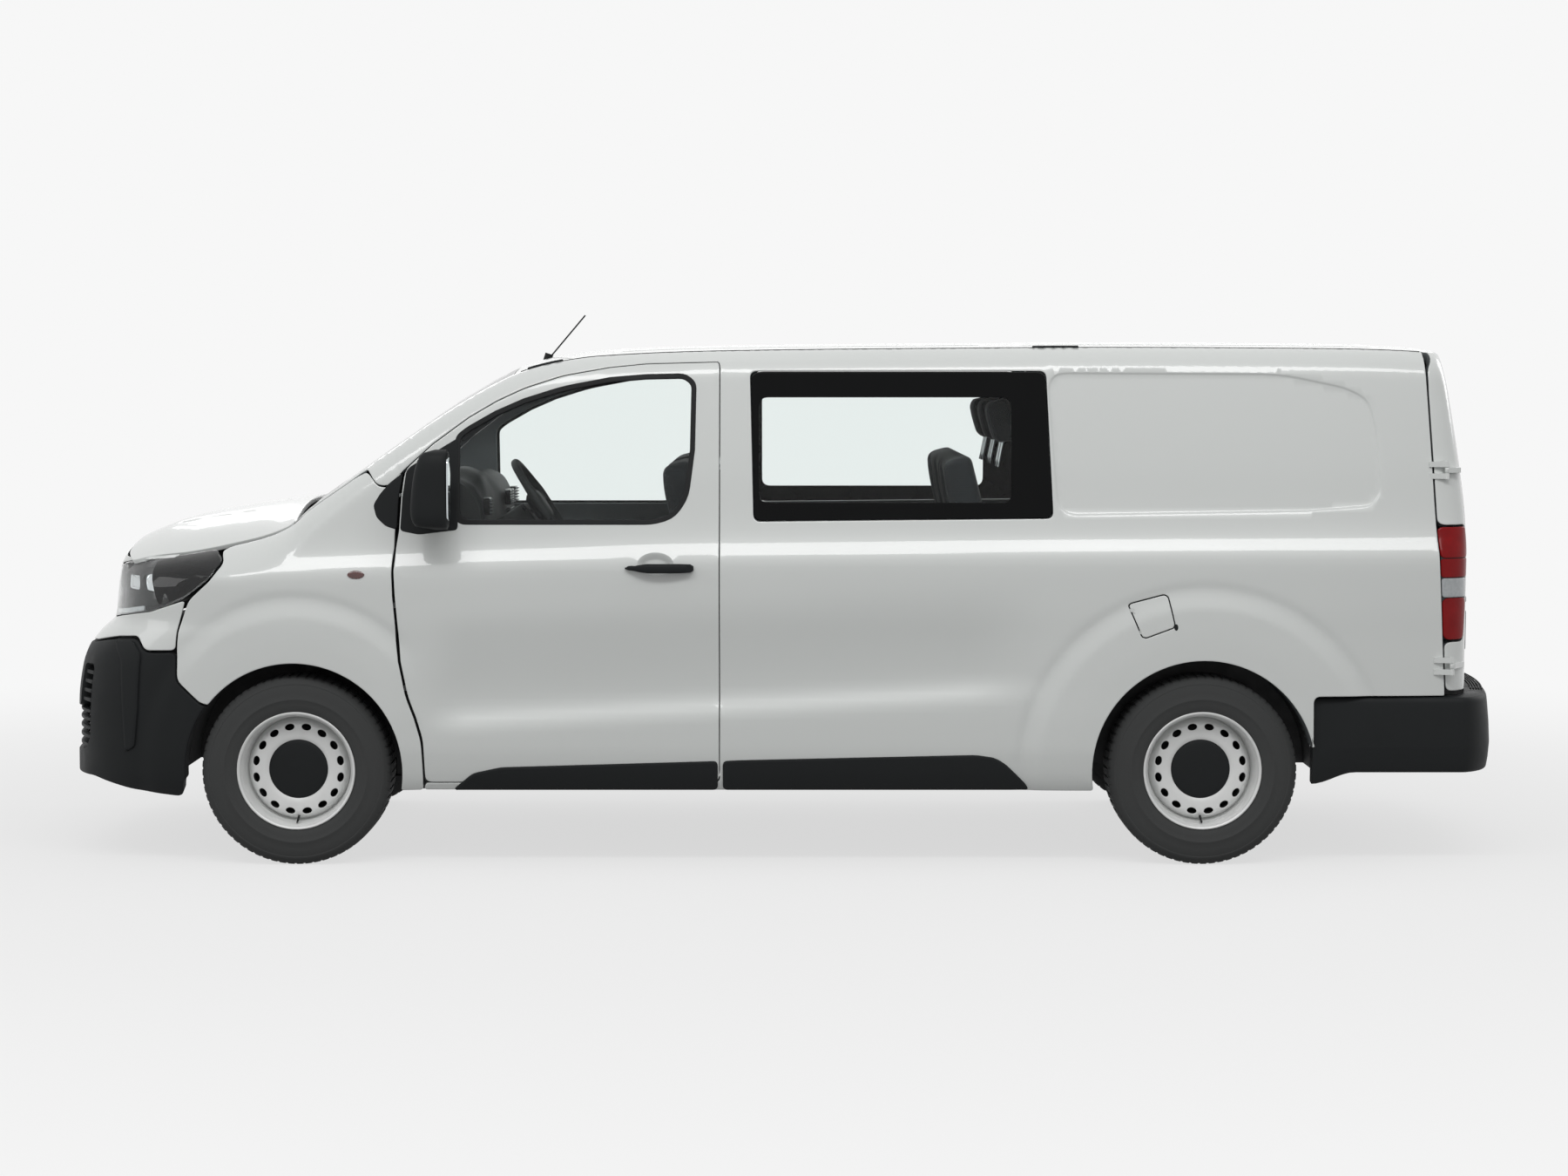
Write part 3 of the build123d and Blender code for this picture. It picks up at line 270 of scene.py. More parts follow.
def triangles(loops, inner_points, lines=()):
    """Triangles that fill the region between the outlines, with the extra points and outlines inside it."""
    points, edges = [], []
    for loop in list(loops) + list(lines):
        start = len(points)
        points += [tuple(p) for p in loop]
        edges += [(start + k, start + (k + 1) % len(loop)) for k in range(len(loop))]
    border = sum(len(loop) for loop in loops)
    points += [tuple(p) for p in inner_points]
    flat = [Vector(p) for p in points]
    found, seams, faces, origin, seam_origin, _ = delaunay_2d_cdt(flat, edges, [], 0, 1e-4)
    index = []
    for spot, source in zip(found, origin):
        if not source:
            points.append(tuple(spot))
        index.append(source[0] if source else len(points) - 1)
    walls = {tuple(sorted(s)) for s, o in zip(seams, seam_origin) if sum(e < border for e in o) % 2}
    beside = {}
    for k, face in enumerate(faces):
        for a, b in zip(face, face[1:] + face[:1]):
            beside.setdefault((min(a, b), max(a, b)), []).append(k)
    inside = [None] * len(faces)
    ready = []
    for seam, touching in beside.items():
        if len(touching) == 1 and inside[touching[0]] is None:
            inside[touching[0]] = seam in walls
            ready.append(touching[0])
    while ready:
        k = ready.pop()
        face = faces[k]
        for a, b in zip(face, face[1:] + face[:1]):
            seam = (min(a, b), max(a, b))
            for other in beside[seam]:
                if inside[other] is None:
                    inside[other] = inside[k] != (seam in walls)
                    ready.append(other)
    kept = [[index[v] for v in face] for face, keep in zip(faces, inside) if keep]
    return arr(points), arr(kept).astype(int)


def grid_inside(loops, step, margin):
    """Points of a staggered grid inside the outlines, at least margin away from them."""
    low = np.vstack(loops).min(axis=0)
    high = np.vstack(loops).max(axis=0)
    u, v = np.meshgrid(np.arange(low[0] + step / 2, high[0], step),
                       np.arange(low[1] + step / 2, high[1], step))
    u[::2] += step / 2
    points = np.column_stack([u.ravel(), v.ravel()])
    points = points[within(loops, points)]
    return points[distance_to(loops, points) > margin]


# ---------------------------------------------------------------- the surfaces that panels lie on
def on_flank(u, v):
    return np.column_stack([u, flank(u, v), v])


def on_roof(u, v):
    return np.column_stack([u, v, roof_height(u, v)])


def on_bonnet(u, v):
    return np.column_stack([u, v, bonnet_height(u, v)])


def halved(low, high, rounds, past):
    """The last two ends of the search for the place between low and high from which past is true."""
    for _ in range(rounds):
        middle = (low + high) / 2
        beyond = past(middle)
        high = np.where(beyond, middle, high)
        low = np.where(beyond, low, middle)
    return low, high


TURN_RADIUS = 850.0              # an angle of one radian round the nose or the tail counts as this length
NOSE_CENTRE_X, TAIL_CENTRE_X = 1700.0, -1800.0
NOSE_BLEND, TAIL_BLEND = 170.0, 70.0     # how softly each end turns into the flank


def soft_max(a, b, reach):
    share = np.clip(1.0 - np.abs(a - b) / reach, 0.0, None)
    return np.maximum(a, b) + share * share * reach / 4.0


def round_end(u, v, centre_x, forward, end_surface, reach):
    """The plan curve at height v, from the middle of the nose or the tail round to the flank."""
    angle = u / TURN_RADIUS

    def outside(radius):
        x = centre_x + forward * radius * np.cos(angle)
        y = radius * np.sin(angle)
        return soft_max(np.abs(y) - flank(x, v), forward * (x - end_surface(y, v)), reach) > 0

    radius = halved(np.zeros(len(u)), np.full(len(u), 1500.0), 22, outside)[1]
    return np.column_stack([centre_x + forward * radius * np.cos(angle), radius * np.sin(angle), v])


def on_nose(u, v):
    return round_end(np.asarray(u, float), np.asarray(v, float), NOSE_CENTRE_X, 1.0, nose_front, NOSE_BLEND)


def on_tail(u, v):
    return round_end(np.asarray(u, float), np.asarray(v, float), TAIL_CENTRE_X, -1.0, tail_back, TAIL_BLEND)


def turned(surface, points):
    """Outline points ("x", x, z) or ("y", y, z) turned into (u, z) on the nose or the tail surface."""
    forward = 1.0 if surface is on_nose else -1.0
    z = arr([p[2] for p in points])
    by_x = np.array([p[0] == "x" for p in points])
    value = arr([p[1] for p in points])
    low, high = np.full(len(z), -1.5 * TURN_RADIUS), np.full(len(z), 2.3 * TURN_RADIUS)
    low[by_x] = 0.0

    def past(turn):
        spot = surface(turn, z)
        return ~np.where(by_x, forward * (spot[:, 0] - value) > 0, spot[:, 1] < value)

    return np.column_stack([halved(low, high, 18, past)[0], z])


def normals(place, u, v):
    along = place(u + 1.0, v) - place(u - 1.0, v)
    up = place(u, v + 1.0) - place(u, v - 1.0)
    n = np.cross(along, up)
    n /= np.maximum(np.linalg.norm(n, axis=1), 1e-9)[:, None]
    p = place(u, v)
    outward = np.sign(np.sum(n * (p - arr([[0.0, 0.0, 900.0]]))))
    if np.ptp(p[:, 1]) > 0 and p[:, 1].min() > 200:
        outward = np.sign(np.sum(n[:, 1])) or 1.0
    return p, n * outward, outward


def trim_line(x, z):
    """Half the width inside the body walls."""
    inside = np.interp(z, [200, 519.9, 520, 1150, 1830, 1850], [790, 790, WALL_INNER, WALL_INNER, 745, 700])
    return np.minimum(flank(x, z) - 48.0, inside)


def at_trim(u, v):
    return np.column_stack([u, trim_line(u, v), v])


# ---------------------------------------------------------------- meshes
def make(name, verts, faces, body, finishes, side=1, face_finish=None, angle=32.0):
    """A piece from millimetre points; side -1 makes the mirrored piece for the right."""
    points = arr(verts) / 1000.0
    faces = [tuple(f) for f in faces]
    if side < 0:
        points = points * arr([[1, -1, 1]])
        faces = [f[::-1] for f in faces]
    mesh = bpy.data.meshes.new(name)
    mesh.from_pydata([tuple(p) for p in points], [], faces)
    for finish in finishes if isinstance(finishes, (list, tuple)) else [finishes]:
        mesh.materials.append(finish)
    if face_finish is not None:
        mesh.polygons.foreach_set("material_index", list(face_finish))
    mesh.polygons.foreach_set("use_smooth", [True] * len(faces))
    mesh.validate()
    mesh.update()
    mesh.set_sharp_from_angle(angle=math.radians(angle))
    piece = bpy.data.objects.new(name, mesh)
    bpy.context.scene.collection.objects.link(piece)
    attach(piece, body)
    return piece


OUTLINE_STEP = 18.0              # longest step along the edge of a panel
PRESSING_STEP = 14.0             # the same along the edge of a shape pressed into it


def panel_mesh(place, outline, holes=(), depth=8.0, inner=None, rise=0.0, edge=3.0, grid=24.0, pressed=(),
               extra=None, corner_radius=14.0, coarse=70.0):
    """A closed panel: rounded outer edges, the thickness of the real panel, and holes.  pressed lists
    (outline, width, depth) shapes pushed into the surface."""
    loops = [leftward(rounded(outline, corner_radius))]
    loops += [leftward(rounded(hole, corner_radius))[::-1] for hole in holes]
    loops = [spaced(loop, OUTLINE_STEP) for loop in loops]
    rings = [(0.0, edge), (0.3 * edge, 0.3 * edge), (edge, 0.0), (edge + 2.5, 0.0)]
    inner_loops = [inset(loop, rings[-1][0]) for loop in loops]
    lines, shapes = [], []
    for shape, width, push in pressed:
        shape = spaced(leftward(rounded(shape, 3 * corner_radius)), PRESSING_STEP)
        shapes.append((shape, width, push))
        lines += [inset(shape, width * k / 3.0) for k in range(4)]
    points = grid_inside(inner_loops, grid, 0.42 * grid)
    if lines:
        points = points[distance_to(lines, points) > 4.0]
    if extra is not None:
        extra = arr(extra)
        extra = extra[within(inner_loops, extra)]
        extra = extra[distance_to(list(inner_loops) + lines, extra) > 2.5]
        points = np.vstack([points, extra])
    flat, faces = triangles(inner_loops, points, lines)
    drop = np.zeros(len(flat))
    for shape, width, push in shapes:
        gap = np.where(within([shape], flat), distance_to([shape], flat), 0.0)
        drop += push * smooth(0.0, 1.0, gap / width)
    counts = [len(loop) for loop in loops]
    total = sum(counts)
    uv, sink = [], []
    for distance, low in rings[:-1]:
        for loop in loops:
            uv.append(inset(loop, distance))
            sink.append(np.full(len(loop), low))
    uv.append(flat)
    sink.append(drop)
    uv, sink = np.vstack(uv), np.concatenate(sink)
    spots, n, outward = normals(place, uv[:, 0], uv[:, 1])
    verts = spots + n * (rise - sink)[:, None]
    all_faces = [tuple(f) for f in faces + 3 * total]
    start = 0
    for count in counts:
        for level in range(3):
            for k in range(count):
                a, b = start + k, start + (k + 1) % count
                lift = level * total
                all_faces.append((a + lift, b + lift, b + lift + total, a + lift + total))
        start += count
    outer_count = len(all_faces)
    back_points = grid_inside(loops, coarse, 0.45 * coarse)
    back, back_faces = triangles(loops, back_points)
    if inner is not None:
        behind = inner(back[:, 0], back[:, 1])
    else:
        at, n_back, _ = normals(place, back[:, 0], back[:, 1])
        behind = at + n_back * (rise - depth)
    base = len(verts)
    verts = np.vstack([verts, behind])
    start = 0
    for count in counts:
        for k in range(count):
            a, b = start + k, start + (k + 1) % count
            all_faces.append((a + base, b + base, b, a))
        start += count
    all_faces += [tuple(f[::-1]) for f in back_faces + base]
    if outward < 0:
        all_faces = [tuple(reversed(f)) for f in all_faces]
    inside = [0] * outer_count + [1] * (len(all_faces) - outer_count)
    return verts, all_faces, inside


def place_sides(name, bodies, finishes, mesh, sides, replaces, face_finish=None, angle=32.0):
    """The mesh as a piece on the left and mirrored on the right, or as one piece with the plain name."""
    for side, body in zip(sides, [bodies] * 2 if isinstance(bodies, str) else bodies):
        prefix = "" if len(sides) == 1 else ("left_" if side > 0 else "right_")
        piece = make(prefix + name, *mesh, body, finishes, side, face_finish, angle)
        for node in replaces:
            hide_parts(prefix + node if prefix + node in nodes else node)


def panel(name, bodies, finishes, place, outline, replaces=(), slot=None, sides=(1, -1), **shape):
    """A panel on both sides; finishes is (outside, inside) or one finish."""
    verts, faces, inside = panel_mesh(place, outline, **shape)
    finishes = finishes if isinstance(finishes, tuple) else (finishes, finishes)
    place_sides(name, bodies, finishes, (verts, faces), sides, replaces, inside)


def circle(x, z, radius, start=0.0, end=360.0, count=48):
    return [(x + radius * math.cos(math.radians(start + (end - start) * k / count)),
             z + radius * math.sin(math.radians(start + (end - start) * k / count)))
            for k in range(count + 1)]


def tube(name, path, radii, body, finish, sides):
    """A round bar along the points, with a radius for each of them."""
    p = arr(path)
    verts, faces = [], []
    up = Vector((0, 0, 1))
    for k in range(len(p)):
        along = Vector(p[min(k + 1, len(p) - 1)] - p[max(k - 1, 0)]).normalized()
        if k == 0 and abs(along.dot(up)) > 0.9:
            up = Vector((1, 0, 0))
        across = along.cross(up).normalized()
        up = across.cross(along).normalized()
        for s in range(sides):
            a = 2 * math.pi * s / sides
            verts.append(Vector(p[k]) + across * (math.cos(a) * radii[k]) + up * (math.sin(a) * radii[k]))
    for k in range(len(p) - 1):
        for s in range(sides):
            a, b = k * sides + s, k * sides + (s + 1) % sides
            faces.append((a, b, b + sides, a + sides))
    faces.append(tuple(range(sides))[::-1])
    faces.append(tuple(range((len(p) - 1) * sides, len(p) * sides)))
    make(name, [tuple(v) for v in verts], faces, body, finish)


def lathe_mesh(profile, segments, centre):
    """The (radius, outward) profile, closed, turned round the wheel's axis."""
    verts, faces = [], []
    n = len(profile)
    for s in range(segments):
        a = 2 * math.pi * s / segments
        for r, w in profile:
            verts.append((centre[0] + r * math.cos(a), centre[1] + w, centre[2] + r * math.sin(a)))
    for s in range(segments):
        t = (s + 1) % segments
        for k in range(n):
            m = (k + 1) % n
            faces.append((s * n + k, s * n + m, t * n + m, t * n + k))
    return verts, faces


def rounded_box(low, high, radius):
    """A box with rounded edges and corners, as points and faces."""
    bm = bmesh.new()
    bmesh.ops.create_cube(bm, size=1.0)
    low, high = arr(low), arr(high)
    for v in bm.verts:
        v.co = Vector((low + high) / 2 + arr(v.co) * (high - low))
    bmesh.ops.bevel(bm, geom=bm.edges[:], offset=radius, segments=4, profile=0.5, affect="EDGES")
    bm.verts.ensure_lookup_table()
    verts = [tuple(v.co) for v in bm.verts]
    faces = [tuple(v.index for v in f.verts) for f in bm.faces]
    bm.free()
    return verts, faces


def joined(*meshes):
    verts, faces = [], []
    for v, f in meshes:
        start = len(verts)
        verts += [tuple(p) for p in v]
        faces += [tuple(k + start for k in face) for face in f]
    return verts, faces


# ---------------------------------------------------------------- helpers for small pieces
def loft(rings):
    """A closed skin over rings of points, each with the same number of points."""
    n = len(rings[0])
    verts = [tuple(p) for points in rings for p in points]
    faces = [(k * n + j, k * n + (j + 1) % n, (k + 1) * n + (j + 1) % n, (k + 1) * n + j)
             for k in range(len(rings) - 1) for j in range(n)]
    faces.append(tuple(range(n))[::-1])
    faces.append(tuple(range((len(rings) - 1) * n, len(rings) * n)))
    return verts, faces


def ring(x, y, z):
    """Points of a ring from its three coordinates, of which the single values are the same all round."""
    count = max(np.size(v) for v in (x, y, z))
    return np.column_stack([np.broadcast_to(v, (count,)) for v in (x, y, z)])


def round_ring(radius, count):
    t = 2 * np.pi * np.arange(count) / count
    return radius * np.cos(t), radius * np.sin(t)


def level_ring(radius, x, y, z):
    """A round ring that lies flat, with its middle at (x, y, z)."""
    dx, dy = round_ring(radius, 24)
    return ring(x + dx, y + dy, z)


def slab(plan, low, high):
    """A closed plate with the plan's outline between two heights."""
    return loft([ring(plan[:, 0], plan[:, 1], z) for z in (low, high)])


def super_ring(half_a, half_b, power, count=36):
    """Points round a rounded rectangle of half sizes a and b; a higher power gives squarer corners."""
    t = 2 * np.pi * np.arange(count) / count
    c, s = np.cos(t), np.sin(t)
    return half_a * np.sign(c) * np.abs(c) ** (2 / power), half_b * np.sign(s) * np.abs(s) ** (2 / power)


def upright(mesh):
    """The same closed mesh with its faces turned outwards."""
    bm = bmesh.new()
    points = [bm.verts.new(p) for p in mesh[0]]
    for face in mesh[1]:
        bm.faces.new([points[k] for k in face])
    bmesh.ops.recalc_face_normals(bm, faces=bm.faces)
    bm.verts.index_update()
    result = [tuple(v.co) for v in bm.verts], [tuple(v.index for v in f.verts) for f in bm.faces]
    bm.free()
    return result


def pair(name, bodies, finish, mesh, slot=None, replaces=(), sides=(1, -1), angle=32.0):
    """The same mesh on the left and mirrored on the right."""
    place_sides(name, bodies, finish, upright(mesh), sides, replaces, angle=angle)


def single(name, bodies, finish, mesh, **more):
    pair(name, bodies, finish, mesh, sides=(1,), **more)


def panels_mesh(place, outlines, **shape):
    """Several panels on one surface as one mesh."""
    parts = [panel_mesh(place, outline, **shape)[:2] for outline in outlines]
    return joined(*parts)


# ---------------------------------------------------------------- finishes
def linear(colour):
    """An sRGB hex colour as the linear values that the nodes take."""
    values = [int(colour[k:k + 2], 16) / 255.0 for k in (1, 3, 5)]
    return [v / 12.92 if v <= 0.04045 else ((v + 0.055) / 1.055) ** 2.4 for v in values] + [1.0]


def add(tree, kind, inputs=None, **settings):
    """Adds a node, with its settings and with values or links for its inputs."""
    made = tree.nodes.new(kind)
    for key, value in settings.items():
        setattr(made, key, value)
    for key, value in (inputs or {}).items():
        if isinstance(value, bpy.types.NodeSocket):
            tree.links.new(value, made.inputs[key])
        else:
            made.inputs[key].default_value = value
    return made


def new_material(name):
    material = bpy.data.materials.new(name)
    material.use_nodes = True
    material.node_tree.nodes.clear()
    return material, material.node_tree


def finish_of(name, colour, second, mottle_mm, roughness, grain_mm=0.0, grain_deep_mm=0.0, rough_spread=0.06,
              metallic=0.0, coat=0.0, cells=False, extra=None):
    """A finish whose colour wanders between two values over mottle_mm, with a fine grain in relief."""
    material, tree = new_material(name)
    place = add(tree, "ShaderNodeTexCoord").outputs["Object"]
    cloud = add(tree, "ShaderNodeTexNoise", {"Vector": place, "Scale": 1000.0 / mottle_mm, "Detail": 4.0})
    mix = add(tree, "ShaderNodeMix",
              {"Factor": cloud.outputs["Fac"], "A": linear(colour), "B": linear(second)}, data_type="RGBA")
    rough = add(tree, "ShaderNodeMapRange", {
        "Value": cloud.outputs["Fac"], "From Min": 0.3, "From Max": 0.7,
        "To Min": roughness - rough_spread, "To Max": roughness + rough_spread})
    shader = add(tree, "ShaderNodeBsdfPrincipled", {
        "Base Color": mix.outputs["Result"], "Roughness": rough.outputs["Result"], "Metallic": metallic,
        "Coat Weight": coat, "Coat Roughness": 0.04, **(extra or {})})
    if grain_mm:
        kind = "ShaderNodeTexVoronoi" if cells else "ShaderNodeTexNoise"
        grain = add(tree, kind, {"Vector": place, "Scale": 1000.0 / grain_mm})
        height = grain.outputs["Distance" if cells else "Fac"]
        bump = add(tree, "ShaderNodeBump",
                   {"Height": height, "Distance": grain_deep_mm / 1000.0, "Strength": 1.0})
        tree.links.new(bump.outputs["Normal"], shader.inputs["Normal"])
    out = add(tree, "ShaderNodeOutputMaterial")
    tree.links.new(shader.outputs["BSDF"], out.inputs["Surface"])
    return material


GLASS_SHADE = 0.85               # share of the light that a pane lets through to what is behind it


def clear_glass(name, tint, ior):
    """Glass that lets light through to what is behind it: shadow rays pass with only its tint."""
    material, tree = new_material(name)
    glass = add(tree, "ShaderNodeBsdfPrincipled", {"Base Color": linear(tint), "Roughness": 0.0, "IOR": ior,
                                                   "Transmission Weight": 1.0})
    through_it = add(tree, "ShaderNodeBsdfTransparent",
                     {"Color": [c * GLASS_SHADE for c in linear(tint)[:3]] + [1.0]})
    path = add(tree, "ShaderNodeLightPath")
    both = add(tree, "ShaderNodeMixShader", {0: path.outputs["Is Shadow Ray"], 1: glass.outputs["BSDF"],
                                             2: through_it.outputs["BSDF"]})
    out = add(tree, "ShaderNodeOutputMaterial", {"Surface": both.outputs["Shader"]})
    return material


# baked enamel on steel: nearly white with a faint unevenness, and clean reflections in its clear coat
paint = finish_of("white_enamel_paint", "#d9dcda", "#d4d7d5", 1400, 0.34, grain_mm=7, grain_deep_mm=0.012,
                  coat=0.8)
# moulded polypropylene: dull grey-black with a leather grain; the grain is drawn at 2.2 mm so that it shows
black_plastic = finish_of("grained_black_polypropylene", "#1b1d1e", "#222425", 90, 0.55, grain_mm=2.2,
                          grain_deep_mm=0.12, cells=True, extra={"Specular IOR Level": 0.14})
# polished black acrylic: deep black with sharp, weak reflections
gloss_black = finish_of("gloss_black_acrylic", "#060708", "#0a0b0c", 200, 0.1, rough_spread=0.02,
                        extra={"Specular IOR Level": 0.1})
# vulcanised rubber seals: dull and almost black, with a fine roughness
seal_rubber = finish_of("black_seal_rubber", "#121314", "#191a1b", 60, 0.62, grain_mm=3, grain_deep_mm=0.05,
                        extra={"Specular IOR Level": 0.25})
# vulcanised tyre rubber: dull charcoal that is dusty and so lighter in places
tyre_rubber = finish_of("tyre_rubber", "#3c3d3d", "#464747", 120, 0.76, grain_mm=2.5, grain_deep_mm=0.08,
                        extra={"Specular IOR Level": 0.25})
# silver enamel on pressed steel: pale, with a soft sheen from its metal flake
wheel_silver = finish_of("silver_wheel_enamel", "#e8e9e8", "#dddedd", 60, 0.36, grain_mm=1.6,
                         grain_deep_mm=0.02, metallic=0.15, coat=0.2)
# wax sprayed on chassis steel: dull black, slightly lumpy
chassis_black = finish_of("black_underbody_wax", "#17181a", "#232425", 50, 0.6, grain_mm=5,
                          grain_deep_mm=0.25)
# moulded grey polypropylene, for the inner panels: matt mid grey with a leather grain
trim_grey = finish_of("grey_interior_polypropylene", "#55595b", "#4d5153", 120, 0.58, grain_mm=1.8,
                      grain_deep_mm=0.1, cells=True)
# the dashboard's darker moulding: the same plastic, near black, with a fine leather grain
dark_trim = finish_of("dark_interior_polypropylene", "#181a1b", "#202223", 110, 0.6, grain_mm=1.8,
                      grain_deep_mm=0.1, cells=True, extra={"Specular IOR Level": 0.25})
# pressed felt under the roof: pale, soft and without any gloss
headliner = finish_of("pale_felt_headliner", "#b9bbb7", "#aeb0ad", 30, 0.9, grain_mm=2.0, grain_deep_mm=0.2)
# bare number plate blanks: satin-painted aluminium sheet, light grey and smooth
plate_blank = finish_of("satin_painted_aluminium", "#c4c6c5", "#bcbebd", 160, 0.42, grain_mm=3.0,
                        grain_deep_mm=0.01, coat=0.3)
# toughened float glass, barely green, that lets the cab show through
window_glass = clear_glass("pale_green_float_glass", "#f7fbfa", 1.22)
# moulded polycarbonate over the headlamps: clear and a little glossier than the windows
lamp_glass = clear_glass("clear_polycarbonate", "#fafcfc", 1.4)
# vacuum-metallised plastic and plated steel: bright, smooth reflections
bright_metal = finish_of("metallised_reflector", "#d9dcdd", "#cfd2d4", 40, 0.12, metallic=1.0,
                         rough_spread=0.03)
# moulded red lens: deep red with fine ribs, and a faint painted glow, a weak emission that stands in for
# light sent back by its reflector while the lamp is off
red_lens = finish_of("red_polycarbonate", "#8c0207", "#640105", 45, 0.2, coat=0.12, grain_mm=9,
                     grain_deep_mm=0.4,
                     # the emission below is painted glow; the lamp is not switched on
                     extra={"Specular IOR Level": 0.12, "Emission Color": linear("#b4060c"),
                            "Emission Strength": 0.06})
# ribbed clear lens over a grey reflector, which gives a pale grey band
clear_ribs = finish_of("ribbed_clear_polycarbonate", "#b9bdbf", "#8f9496", 12, 0.2, coat=1.0, grain_mm=7,
                       grain_deep_mm=0.8)
# dark amber lens of the side repeaters, nearly brown until it is lit
smoked_amber = finish_of("smoked_amber_polycarbonate", "#5a1208", "#3a0d08", 25, 0.14, coat=1.0, grain_mm=5,
                         grain_deep_mm=0.4)
# silvered glass: a clean, slightly grey reflection
mirror_glass = finish_of("silvered_mirror_glass", "#c9cfd2", "#c2c8cb", 200, 0.03, metallic=1.0,
                         rough_spread=0.01)


# ---------------------------------------------------------------- body sides with the roof rail
def on_side(u, v):
    """The flank up to its top edge, and past that edge the roof, inwards."""
    edge = through(EDGE_LINE, u)
    over = np.maximum(v - edge, 0.0)
    y = flank(u, np.minimum(v, edge)) - over
    z = np.where(over > 0, roof_height(u, y), v)
    return np.column_stack([u, y, z])


def in_side(u, v):
    edge = through(EDGE_LINE, u)
    low = at_trim(u, np.minimum(v, edge - 6.0))
    top = on_side(u, v)
    return np.where((v > edge - 6.0)[:, None], top - arr([[0, 0, 36.0]]), low)


def edge_rows(x_low, x_high, step, offsets):
    x = np.arange(x_low, x_high, step)
    return np.vstack([np.column_stack([x, through(EDGE_LINE, x) + d]) for d in offsets])


RAIL_Y = 697.0
SCREEN_SIDE = [(985, 672), (1200, 704), (1500, 742), (1712, 748), (1784, 750)]


def rail_inner(x, y):
    """A point at (x, y) on the roof, in the side panel's own outline."""
    return (x, float(through(EDGE_LINE, x) + edge_half_width(x) - y))


rear_arch_line = circle(REAR_AXLE_X, AXLE_Z, 402, 167.9, -10.2)
PILLAR_FOOT = [(1424, 1372), (1468, 1374), (1509, 1431)]
PILLAR_X = (1530, 1560, 1600, 1650, 1690, 1730, 1784)
side_outline = ([(1300, 274), (1294, 300), (231, 300), (231, 1800)] + DOOR_OUTLINE[11:20][::-1] + PILLAR_FOOT
                + [(x, float(through(EDGE_LINE, x)) - 2) for x in PILLAR_X]
                + [rail_inner(x, y) for x, y in SCREEN_SIDE[::-1]]
                + [rail_inner(x, RAIL_Y)
                   for x in (985, 800, 600, 300, 0, -500, -1000, -1500, -2000, -2200, -2326)]
                + REAR_SHUT + [(-2382, 616), (-1905, 616)] + rear_arch_line)
rail_rows = edge_rows(-2320, 1780, 40, (-70, -50, -34, -22, -14, -8, -3, 0, 14, 30))
arch_rows = [(REAR_AXLE_X + r * math.cos(math.radians(a)), AXLE_Z + r * math.sin(math.radians(a)))
             for r in (412, 425) for a in range(-8, 168, 2)]
arch_rows += [(REAR_AXLE_X + r * math.cos(math.radians(a)), AXLE_Z + r * math.sin(math.radians(a)))
              for r in range(578, 720, 11) for a in np.arange(4, 176, 1.6)]
QUARTER_PRESSING = [(-972, 1255), (-949, 1782), (-1804, 1777), (-2039, 1727), (-2118, 1685), (-2148, 1567),
                    (-2160, 1347), (-2123, 1295), (-1887, 1277)]
left_crew = inset(leftward(CREW_WINDOW), -2.0)
panel("left_side_panel", "body", (paint, trim_grey), on_side, side_outline, replaces=("left_side",),
      slot="paint", sides=(1,), holes=[left_crew, FUEL_OUTLINE], inner=in_side,
      extra=np.vstack([rail_rows, arch_rows]), pressed=[([(-985, 1262)] + QUARTER_PRESSING[1:], 9.0, 6.0)],
      corner_radius=26.0)
panel("right_side_panel", "body", (paint, trim_grey), on_side, side_outline, replaces=("right_side",),
      slot="paint", sides=(-1,), holes=[SLIDING_OUTLINE], inner=in_side,
      extra=np.vstack([rail_rows, arch_rows]),
      pressed=[([(-1032, 1262), (-1020, 1780)] + QUARTER_PRESSING[2:], 9.0, 6.0)], corner_radius=26.0)
HANDLE_Z = 1080.0


def oval(x, z, wide, high, count=28):
    return [(x + wide / 2 * math.cos(2 * math.pi * k / count),
             z + high / 2 * math.sin(2 * math.pi * k / count))
            for k in range(count)]


panel("front_door_panel", FRONT_DOORS, (paint, trim_grey), on_flank, inset(leftward(DOOR_OUTLINE), 3.0),
      slot="paint", corner_radius=26.0, replaces=("front_door",), holes=[DOOR_WINDOW], inner=at_trim,
      pressed=[(oval(462, 1092, 132, 84), 22.0, 20.0)])
panel("sliding_door_panel", "body", (paint, trim_grey), on_flank, inset(leftward(SLIDING_OUTLINE), 4.0),
      slot="paint", corner_radius=26.0, sides=(-1,), replaces=("sliding_door",), holes=[CREW_WINDOW],
      inner=at_trim, pressed=[(oval(120, 1092, 132, 84), 22.0, 20.0)])
panel("fuel_flap_panel", "fuel_flap", paint, on_flank, inset(leftward(FUEL_OUTLINE), 4.0), slot="paint",
      sides=(1,), replaces=("fuel_flap",), depth=5.0, edge=2.0, grid=12.0, corner_radius=10.0)


# ---------------------------------------------------------------- roof, screen and bonnet
roof_x = (-2326, -2200, -2000, -1500, -1000, -500, 0, 300, 600, 800, 985)
roof_outline = ([(x, RAIL_Y - 5) for x in roof_x] + [(987, 300), (987, -300)]
                + [(x, 5 - RAIL_Y) for x in roof_x[::-1]])
RIBS = [([(x0, y - 45), (x0, y + 45), (x1, y + 45), (x1, y - 45)], 22.0, 7.0)
        for y in (-480, -240, 0, 240, 480) for x0, x1 in ((-2200, -860), (-740, 620))]
panel("roof_panel", "body", (paint, headliner), on_roof, roof_outline, replaces=("roof",), slot="paint",
      sides=(1,), depth=36.0, grid=34.0, pressed=RIBS)
screen_outline = ([(992, 664)] + [(x, y - 6) for x, y in SCREEN_SIDE[1:4]]
                  + [(1712, -742), (1500, -736), (1200, -698), (992, -664)])
